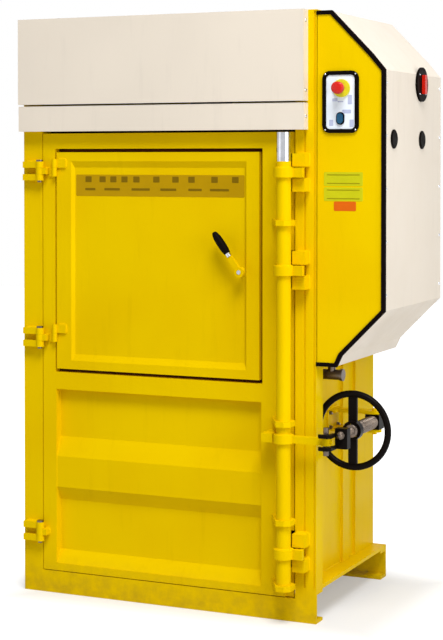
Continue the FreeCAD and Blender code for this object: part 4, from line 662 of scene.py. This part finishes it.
def footprints(node, axis, level):
    """Boxes of a CAD node's patches on a plane, as spans along the two other axes."""
    mesh, number = CAD[node].data, "xyz".index(axis)
    points, corners = np.empty(len(mesh.vertices) * 3), np.empty(len(mesh.loops), int)
    mesh.vertices.foreach_get("co", points)
    mesh.loops.foreach_get("vertex_index", corners)
    triangles = points.reshape(-1, 3)[corners.reshape(-1, 3)]
    flat = triangles[np.abs(triangles[:, :, number] - level).max(1) < FLAT]
    patches = []
    for triangle in np.round(np.delete(flat, number, 2), 5):
        joined = {tuple(corner) for corner in triangle}
        apart = [patch for patch in patches if not patch & joined]
        patches = apart + [joined.union(*(patch for patch in patches if patch & joined))]
    return [(np.min(list(patch), 0), np.max(list(patch), 0)) for patch in patches]


def seat_beads(pile, node, axis, level, settings):
    """Beads round every patch with which a CAD node stands on a plane."""
    number = "xyz".index(axis)
    for low, high in footprints(node, axis, level):
        corners = [low, (high[0], low[1]), high, (low[0], high[1])]
        spots = [np.insert(corner, number, level) for corner in corners]
        for i, spot in enumerate(spots):
            bead(pile, spot, spots[(i + 1) % 4], settings)


class BALER_OT_frame_welds(Operator):
    """Weld on the keepers, hinge lugs, swing bracket, ribs and belts, and the walls to the base"""

    bl_idname = "baler.frame_welds"
    bl_label = "Frame welds"

    def execute(self, context):
        settings = context.scene.baler_welds
        pile = Pile()
        for node in ("keepers", "hinge_lugs"):
            seat_beads(pile, node, "y", 0.0, settings)
        seat_beads(pile, "swing_bracket", "x", span("side_wall_right", "x")[1], settings)
        self.seams(pile, settings)
        pile.piece("frame_welds", "frame", "yellow_paint")
        return {"FINISHED"}

    def seams(self, pile, settings):
        """Long seams at the foot of the walls, and stitch welds along the ribs and belts."""
        base = span("base_plate", "z")[1]
        wall, front, back = span("side_wall_right", "x")[1], *span("side_wall_right", "y")
        for x in (-wall, wall):
            bead(pile, (x, front, base), (x, back, base), settings)
        for x, top in ((wall, span("cabinet_shell", "z")[0]), (-wall, span("side_wall_left", "z")[1])):
            for y in RIB_EDGES:
                stitch_beads(pile, (x, y, base + STITCH_CLEAR), (x, y, top - STITCH_CLEAR), settings)
        for low in BELT_LEVELS:
            for z in (low, low + BELT_TALL):
                stitch_beads(pile, (-BELT_HALF, back, z), (BELT_HALF, back, z), settings)


class BALER_OT_door_welds(Operator):
    """Weld the lock bearings, hinge leaves, feed hinge posts and folded panel to the bale door"""

    bl_idname = "baler.door_welds"
    bl_label = "Door welds"

    def execute(self, context):
        settings = context.scene.baler_welds
        pile = Pile()
        for node in ("lock_bearings", "hinge_leaves", "feed_hinge_posts"):
            seat_beads(pile, node, "y", 0.0, settings)
        self.panel_seam(pile, settings)
        pile.piece("door_welds", "bale_door", "yellow_paint")
        pile = Pile()
        seat_beads(pile, "feed_hinge_leaves", "y", 0.0, settings)
        pile.piece("feed_door_welds", "feed_door", "yellow_paint")
        return {"FINISHED"}

    def panel_seam(self, pile, settings):
        """Beads along both ends of the folded panel, over its folds, and along its top and foot."""
        left, right = span("door_panel", "x")
        for x in (left, right):
            for fold, next_fold in zip(PANEL_FOLDS, PANEL_FOLDS[1:]):
                bead(pile, (x, *fold), (x, *next_fold), settings, FOLD_SHARE)
        for fold in (PANEL_FOLDS[0], PANEL_FOLDS[-1]):
            bead(pile, (left, *fold), (right, *fold), settings, FOLD_SHARE)


class BALER_OT_lock_welds(Operator):
    """Weld the hooks and the cross arm to the lock shaft, the arm to its pin, and the spoke to the rim"""

    bl_idname = "baler.lock_welds"
    bl_label = "Lock welds"

    def execute(self, context):
        settings = context.scene.baler_welds
        x, y, _ = middle("lock_shaft")
        pile = Pile()
        for z in (*(level + side for level in HOOK_LEVELS for side in (-HOOK_HALF, HOOK_HALF)), *ARM_BOSS):
            ring_bead(pile, (x, y, z), radius("lock_shaft"), settings)
        for z in ARM_END:
            ring_bead(pile, (middle("catch_pin")[0], y, z), radius("catch_pin"), settings, PIN_SHARE)
        pile.piece("lock_welds", "lock_shaft", "yellow_paint")
        pile = Pile()
        hub, _, wheel = middle("handwheel")
        for rim in (wheel - RIM_INSIDE, wheel + RIM_INSIDE):
            for face in (WHEEL_PLANE - SPOKE_THIN, WHEEL_PLANE + SPOKE_THIN):
                bead(pile, (hub - SPOKE_HALF, face, rim), (hub + SPOKE_HALF, face, rim), settings)
        pile.piece("wheel_welds", "handwheel", "black_paint")
        return {"FINISHED"}


# ---------------- fasteners
SMALL = 0.5  # size of the screws on the control panel and the switch, as a share of the others
COVER_INSET, CABINET_INSET = 0.035, 0.08  # a cover's screws in from its top and foot, the cabinet's from its left
BRACKET_INSETS = (0.014, 0.018)  # bolts in from the edges of the swing bracket's foot, in y and z


def button_screws(pile, places, settings):
    """Button heads with a hexagon socket: rows of radius, height and hexness up the dome and into the socket."""
    head = settings.head / 2
    tall, socket, sunk = 0.55 * head, 0.42 * head, 0.0008
    dome = [(head * math.cos(t), tall * math.sin(t), 0) for t in np.linspace(0, 1.05, 7)]
    hollow = [(1.08 * socket, 0.93 * tall, 0.9), (socket, 0.86 * tall, 1), (0.96 * socket, 0.2 * tall, 1)]
    pile.upright(spun([(head, -sunk, 0), *dome, *hollow], 24), -sunk, 0.15 * tall, places)


def hexagon_bolts(pile, places, settings):
    """Hexagon heads on washers, their corners eased at the top: rows of radius, height and hexness, upwards."""
    flat, tall = settings.bolt / 2, 0.65 * settings.bolt
    washer, sunk = 0.0018, 0.0006
    profile = [
        (1.32 * flat, -sunk, 0), (1.32 * flat, 0.7 * washer, 0), (1.26 * flat, washer, 0),
        (flat, washer, 1), (flat, tall, 1), (0.98 * flat, tall + 0.0007, 0.6), (0.9 * flat, tall + 0.001, 0),
    ]  # fmt: skip
    pile.upright(spun(profile), -sunk, tall + 0.001, places)


class BALER_OT_fasteners(Operator):
    """Fit the button screws of the covers, cabinet and controls, and the bolts of the swing bracket"""

    bl_idname = "baler.fasteners"
    bl_label = "Fasteners"

    def execute(self, context):
        settings = context.scene.baler_fasteners
        pile = Pile()
        self.controls(pile, settings)
        self.cabinet(pile, settings)
        self.covers(pile, settings)
        even_normals(pile.piece("cover_screws", "frame", "bright_steel"))
        pile = Pile()
        (_, front, foot), (_, back, top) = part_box("swing_bracket")
        wall, (in_y, in_z) = span("side_wall_right", "x")[1] + BRACKET, BRACKET_INSETS
        spots = [(wall, y, z) for y in (front + in_y, back - in_y) for z in (foot + in_z, top - in_z)]
        hexagon_bolts(pile, place_on(spots, BACK, RIGHT), settings)
        even_normals(pile.piece("bracket_bolts", "frame", "steel"))
        return {"FINISHED"}

    def controls(self, pile, settings):
        """Small screws at the corners of the panel's bezel, and in a ring on the switch's rose."""
        (left, front, foot), (right, _, top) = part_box("panel_bezel")
        inset, level = 0.8 * BEZEL, front + 0.001
        spots = [(x, level, z) for x in (left + inset, right - inset) for z in (foot + inset, top - inset)]
        face, (_, y, z) = span("switch_rose", "x")[1], middle("switch_rose")
        diagonals = circle(4) + math.pi / 4
        ring = [(face, y + ROSE_RING * math.cos(t), z + ROSE_RING * math.sin(t)) for t in diagonals]
        for places in (place_on(spots, RIGHT, FRONT), place_on(ring, BACK, RIGHT)):
            places[:, :3, :3] *= SMALL
            button_screws(pile, places, settings)

    def cabinet(self, pile, settings):
        """Screws round the cabinet's back sheet, and up both edges of its side."""
        (left, _, foot), (right, back, top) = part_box("cabinet_shell")
        inset = settings.inset
        on_right, on_left, on_side = (np.linspace(*column) for column in CABINET_SCREWS)
        spots = [(left + CABINET_INSET, back, z) for z in (foot + inset, top - inset)]
        spots += [(right - inset, back, z) for z in on_right] + [(left + inset, back, z) for z in on_left]
        button_screws(pile, place_on(spots, RIGHT, BACK), settings)
        spots = [(right, y, z) for y in (inset, back - inset) for z in on_side]
        button_screws(pile, place_on(spots, BACK, RIGHT), settings)

    def covers(self, pile, settings):
        """Screws through the turned edges of the top cover and the strip, at their right-hand ends."""
        (_, front, foot), (right, _, top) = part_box("top_cover")
        spots = [(right, front / 2, z) for z in (foot + COVER_INSET, top - COVER_INSET)]
        (_, front, foot), (right, _, top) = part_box("cover_strip")
        spots.append((right, front / 2, (foot + top) / 2))
        button_screws(pile, place_on(spots, BACK, RIGHT), settings)


# ---------------- draw screw
THREAD_ROWS, THREAD_COLUMNS = 12, 48  # rows in one turn of a thread, and columns round it


def thread_rings(outside, depth, lead, length):
    """r(s, a) = R - depth * wave(s / lead - a / 2pi), a trapezium wave, eased to the core at both ends."""
    flank, rows = 0.3, int(length / lead * THREAD_ROWS)
    run, angle = np.linspace(0, length, rows)[:, None], circle(THREAD_COLUMNS)
    phase = np.abs((run / lead - angle / (2 * math.pi)) % 1 - 0.5) * 2
    wave = np.clip((phase - flank) / flank, 0, 1)
    ease = np.clip(1 - np.minimum(run, length - run) / (lead * 0.5), 0, 1)
    reach = outside - depth * np.maximum(wave, ease)
    return np.stack([reach * np.cos(angle), reach * np.sin(angle), run + 0 * angle], -1)


class BALER_OT_draw_screw(Operator):
    """Cut the real thread of the draw screw, with its hexagon nut and washer"""

    bl_idname = "baler.draw_screw"
    bl_label = "Draw screw"

    def execute(self, context):
        settings, flat, tall = context.scene.baler_thread, NUT_FLAT, NUT_TALL
        front, back = span("draw_screw", "y")
        length = settings.proud + back - front
        rings = thread_rings(settings.radius, settings.depth, settings.lead, length)
        nut = [
            (0.9 * settings.radius, 0, 0), (0.93 * flat, 0, 0), (0.99 * flat, 0.0007, 0.7), (flat, 0.0015, 1),
            (flat, tall - 0.0015, 1), (1.1 * flat, tall - 0.0014, 0), (1.1 * flat, tall, 0),
        ]  # fmt: skip
        pile = Pile()
        pile.upright(rings, 0, length, on_line("draw_screw", front - settings.proud))
        pile.upright(spun(nut), 0, tall, on_line("draw_screw", front))
        screw = pile.piece("draw_screw_thread", "draw_hook", "steel")
        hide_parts("draw_screw")
        return {"FINISHED"}


class BALER_OT_screw_sleeve(Operator):
    """Turn the long sleeve that the handwheel drives, with its coarse thread between two plain journals"""

    bl_idname = "baler.screw_sleeve"
    bl_label = "Screw sleeve"

    def execute(self, context):
        settings, outside = context.scene.baler_thread, radius("screw_sleeve")
        journal, bevel, clear = outside - 0.0016, 0.001, 0.006
        front, back = span("screw_sleeve", "y")
        start, end = span("handwheel", "y")[1] + clear - front, span("swing_block", "y")[0] - clear - front
        rings = thread_rings(outside, 1.2 * settings.depth, 1.4 * settings.lead, end - start) + [0, 0, start]
        length = back - front
        plain = [(journal - bevel, 0, 0), (journal, bevel, 0), (journal, start, 0)]
        plain += [(journal, end, 0), (journal, length - bevel, 0), (journal - bevel, length, 0)]
        plain = spun(plain, THREAD_COLUMNS)
        pile = Pile()
        whole = np.concatenate([plain[:3], rings, plain[3:]])
        pile.upright(whole, 0, length, on_line("screw_sleeve", front))
        sleeve = pile.piece("screw_sleeve_thread", "handwheel", "bright_steel", "thread_steel")
        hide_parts("screw_sleeve")
        return {"FINISHED"}


# ---------------- turned parts
# Rows up the stop button's crown, the grip and the grip's tip, and columns round the button and the grip.
CROWN_ROWS, GRIP_ROWS, TIP_ROWS, STOP_COLUMNS, GRIP_COLUMNS = 9, 28, 8, 64, 48


class BALER_OT_bosses(Operator):
    """Turn the bosses with which the hooks and the cross arm ring the lock shaft"""

    bl_idname = "baler.bosses"
    bl_label = "Bosses"

    def execute(self, context):
        settings = context.scene.baler_turning
        inside = radius("lock_shaft") - 0.001
        outside = middle("lock_shaft")[0] - span("lock_arm", "x")[0] + settings.skin
        pile = Pile()
        for low, high in (*((level - HOOK_HALF, level + HOOK_HALF) for level in HOOK_LEVELS), ARM_BOSS):
            self.boss(pile, inside, outside, low - settings.skin, high + settings.skin, settings)
        even_normals(pile.piece("shaft_bosses", "lock_shaft", "yellow_paint"))
        return {"FINISHED"}

    def boss(self, pile, inside, outside, low, high, settings):
        """A turned ring about the lock shaft: a rectangle with round corners, spun at its radius."""
        section = rounded_outline(outside - inside, high - low, settings.ease, 4)
        reach, height = (section + [(inside + outside) / 2, (low + high) / 2]).T[:, :, None]
        (x, y, _), angle = middle("lock_shaft"), circle(settings.facets)
        pile.loop(np.stack([x + reach * np.cos(angle), y + reach * np.sin(angle), height + 0 * angle], -1))


class BALER_OT_stop_head(Operator):
    """Mould the stop button's mushroom head, its crown a low dome: ((R - edge) cos t, (crown - edge) sin t)"""

    bl_idname = "baler.stop_head"
    bl_label = "Stop button"

    def execute(self, context):
        front, back = span("stop_button", "y")
        wide, tall = radius("stop_button"), back - front
        stem, edge, crown = 0.55 * wide, 0.06 * wide, 0.25 * wide
        under, rim = 0.55 * tall, tall - crown
        rise = np.linspace(0, 0.5 * math.pi, CROWN_ROWS)[:-1]
        dome = [((wide - edge) * math.cos(t), rim + edge + (crown - edge) * math.sin(t), 0) for t in rise]
        profile = [(stem, 0, 0), (stem, under, 0), (wide - edge, under, 0), (wide, under + edge, 0)]
        profile += [(wide, rim, 0), *dome]
        pile = Pile()
        pile.upright(spun(profile, STOP_COLUMNS), 0, tall, on_line("stop_button", back, FRONT))
        head = pile.piece("stop_head", "stop_button", "red_plastic")
        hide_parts("stop_button")
        even_normals(head)
        return {"FINISHED"}


class BALER_OT_latch_grip(Operator):
    """Turn the latch's grip: a quartic through the radii of its stations, and a quarter ellipse at its tip"""

    bl_idname = "baler.latch_grip"
    bl_label = "Latch grip"

    def execute(self, context):
        (foot, tip), lean = GRIP_SPAN, math.radians(GRIP_LEAN)
        share, reach = np.array(GRIP_RADII).T
        curve = np.polyfit(share, reach, len(share) - 1)
        along = np.linspace(0, share[-1], GRIP_ROWS)
        body = np.column_stack([np.minimum(np.polyval(curve, along), reach.max()), along])
        turn = np.linspace(0, 0.5 * math.pi, TIP_ROWS)[1:-1]
        end = np.column_stack([reach[-1] * np.cos(turn), share[-1] + (1 - share[-1]) * np.sin(turn)])
        rows = np.vstack([body, end]) * (1, tip - foot)
        profile = np.column_stack([rows, np.zeros(len(rows))])
        out = np.array((-math.sin(lean), 0, math.cos(lean)))
        pile = Pile()
        place = place_on([GRIP_PIVOT + foot * out], BACK, out)
        pile.upright(spun(profile, GRIP_COLUMNS), 0, tip - foot, place)
        grip = pile.piece("turned_grip", "feed_latch", "black_plastic")
        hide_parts("latch_grip")
        even_normals(grip)
        return {"FINISHED"}


# ---------------- plates
BAR_CORNER, MARK_CORNER, PRINT_SUNK = 0.001, 0.002, 0.0002


def flat_plates(name, body, finish, level, rows, settings, corner):
    """Thin plates that face the front: a rounded outline at the foot, up the side, and drawn in at the face."""
    thick = settings.thick
    pile = Pile()
    for x, z, width, height in rows:
        rings = []
        for inset, rise in ((0, -thick), (0, 0.6 * thick), (0.4 * thick, thick)):
            outline = rounded_outline(width - 2 * inset, height - 2 * inset, corner - 0.5 * inset)
            rings.append(np.column_stack([outline, np.full(len(outline), rise)]))
        pile.upright(np.stack(rings), -thick, thick, place_on([(x, level, z)], RIGHT, FRONT))
    pile.piece(name, body, finish=finish, smooth=False)


class BALER_OT_plates(Operator):
    """Fix bare plates on the cabinet front, a plain band on the feed door and plain fields on the panel"""

    bl_idname = "baler.plates"
    bl_label = "Plates and band"

    def execute(self, context):
        settings = context.scene.baler_plates
        front, panel = span("cabinet_front", "y")[0], span("control_panel", "y")[0] + PRINT_SUNK
        thick, corner = settings.thick, settings.corner
        for name, finish, row in PLATES:
            flat_plates(name, "frame", finish, front, [row], settings, corner)
        flat_plates("door_band", "feed_door", "band_film", BAND_LEVEL, [BAND], settings, corner)
        flat_plates("plate_bars", "frame", "bar_film", front - thick, PLATE_BARS, settings, BAR_CORNER)
        flat_plates("band_marks", "feed_door", "mark_film", BAND_LEVEL - thick, BAND_MARKS, settings, MARK_CORNER)
        flat_plates("panel_fields", "frame", "field_film", panel, PANEL_FIELDS, settings, MARK_CORNER)
        return {"FINISHED"}


class BALER_OT_louvres(Operator):
    """Press columns of louvres into the cabinet's back sheet

    Ellipses shrink by s over a flat back, and rise by
    depth * (1 - s^4) * (0.5 + 0.5 * clip(0.3 - 2.2 s sin a, -1, 1))
    """

    bl_idname = "baler.louvres"
    bl_label = "Louvres"

    def execute(self, context):
        width, height, depth, sunk = 0.088, 0.016, 0.0055, 0.001
        share, angle = np.linspace(1, 0.08, 9)[:, None], circle(40)
        u, v = share * np.cos(angle), share * np.sin(angle)
        lift = depth * (1 - share**4) * (0.5 + 0.5 * np.clip(0.3 - 2.2 * v, -1, 1))
        rings = np.stack([u * width / 2, v * height / 2, lift], -1)
        rings = np.concatenate([rings[:1] * [1, 1, 0] - [0, 0, sunk], rings])
        back, gap = span("cabinet_shell", "y")[1], context.scene.baler_plates.louvre_gap
        spots = [(x, back, LOUVRE_FOOT + gap * i) for x in LOUVRE_COLUMNS for i in range(LOUVRE_COUNT)]
        pile = Pile()
        pile.upright(rings, -sunk, 0.6 * depth, place_on(spots, LEFT, BACK))
        pile.piece("cabinet_louvres", "frame", "cream_paint")
        return {"FINISHED"}


# ---------------- sidebar and running order
STEPS = (
    BALER_OT_finish, BALER_OT_frame_welds, BALER_OT_door_welds, BALER_OT_lock_welds, BALER_OT_fasteners,
    BALER_OT_draw_screw, BALER_OT_screw_sleeve, BALER_OT_bosses, BALER_OT_stop_head, BALER_OT_latch_grip,
    BALER_OT_plates, BALER_OT_louvres, BALER_OT_stage,
)  # fmt: skip
GROUPS = {
    "baler_finish": FinishSettings,
    "baler_welds": WeldSettings,
    "baler_fasteners": FastenerSettings,
    "baler_thread": ThreadSettings,
    "baler_turning": TurningSettings,
    "baler_plates": PlateSettings,
    "baler_stage": StageSettings,
}


class BALER_PT_tools(Panel):
    """Lists the steps in the order in which the script runs them"""

    bl_label = "Recycling Baler"
    bl_space_type = "VIEW_3D"
    bl_region_type = "UI"
    bl_category = "Baler"

    def draw(self, context):
        for step in STEPS:
            self.layout.operator(step.bl_idname)


CLASSES = (*GROUPS.values(), *STEPS, BALER_PT_tools)


def register():
    for each in CLASSES:
        bpy.utils.register_class(each)
    for name, settings in GROUPS.items():
        setattr(bpy.types.Scene, name, PointerProperty(type=settings))


def unregister():
    for name in GROUPS:
        delattr(bpy.types.Scene, name)
    for each in reversed(CLASSES):
        bpy.utils.unregister_class(each)


def main():
    register()
    for step in STEPS:
        group, name = step.bl_idname.split(".")
        getattr(getattr(bpy.ops, group), name)()


if __name__ == "__main__":
    main()
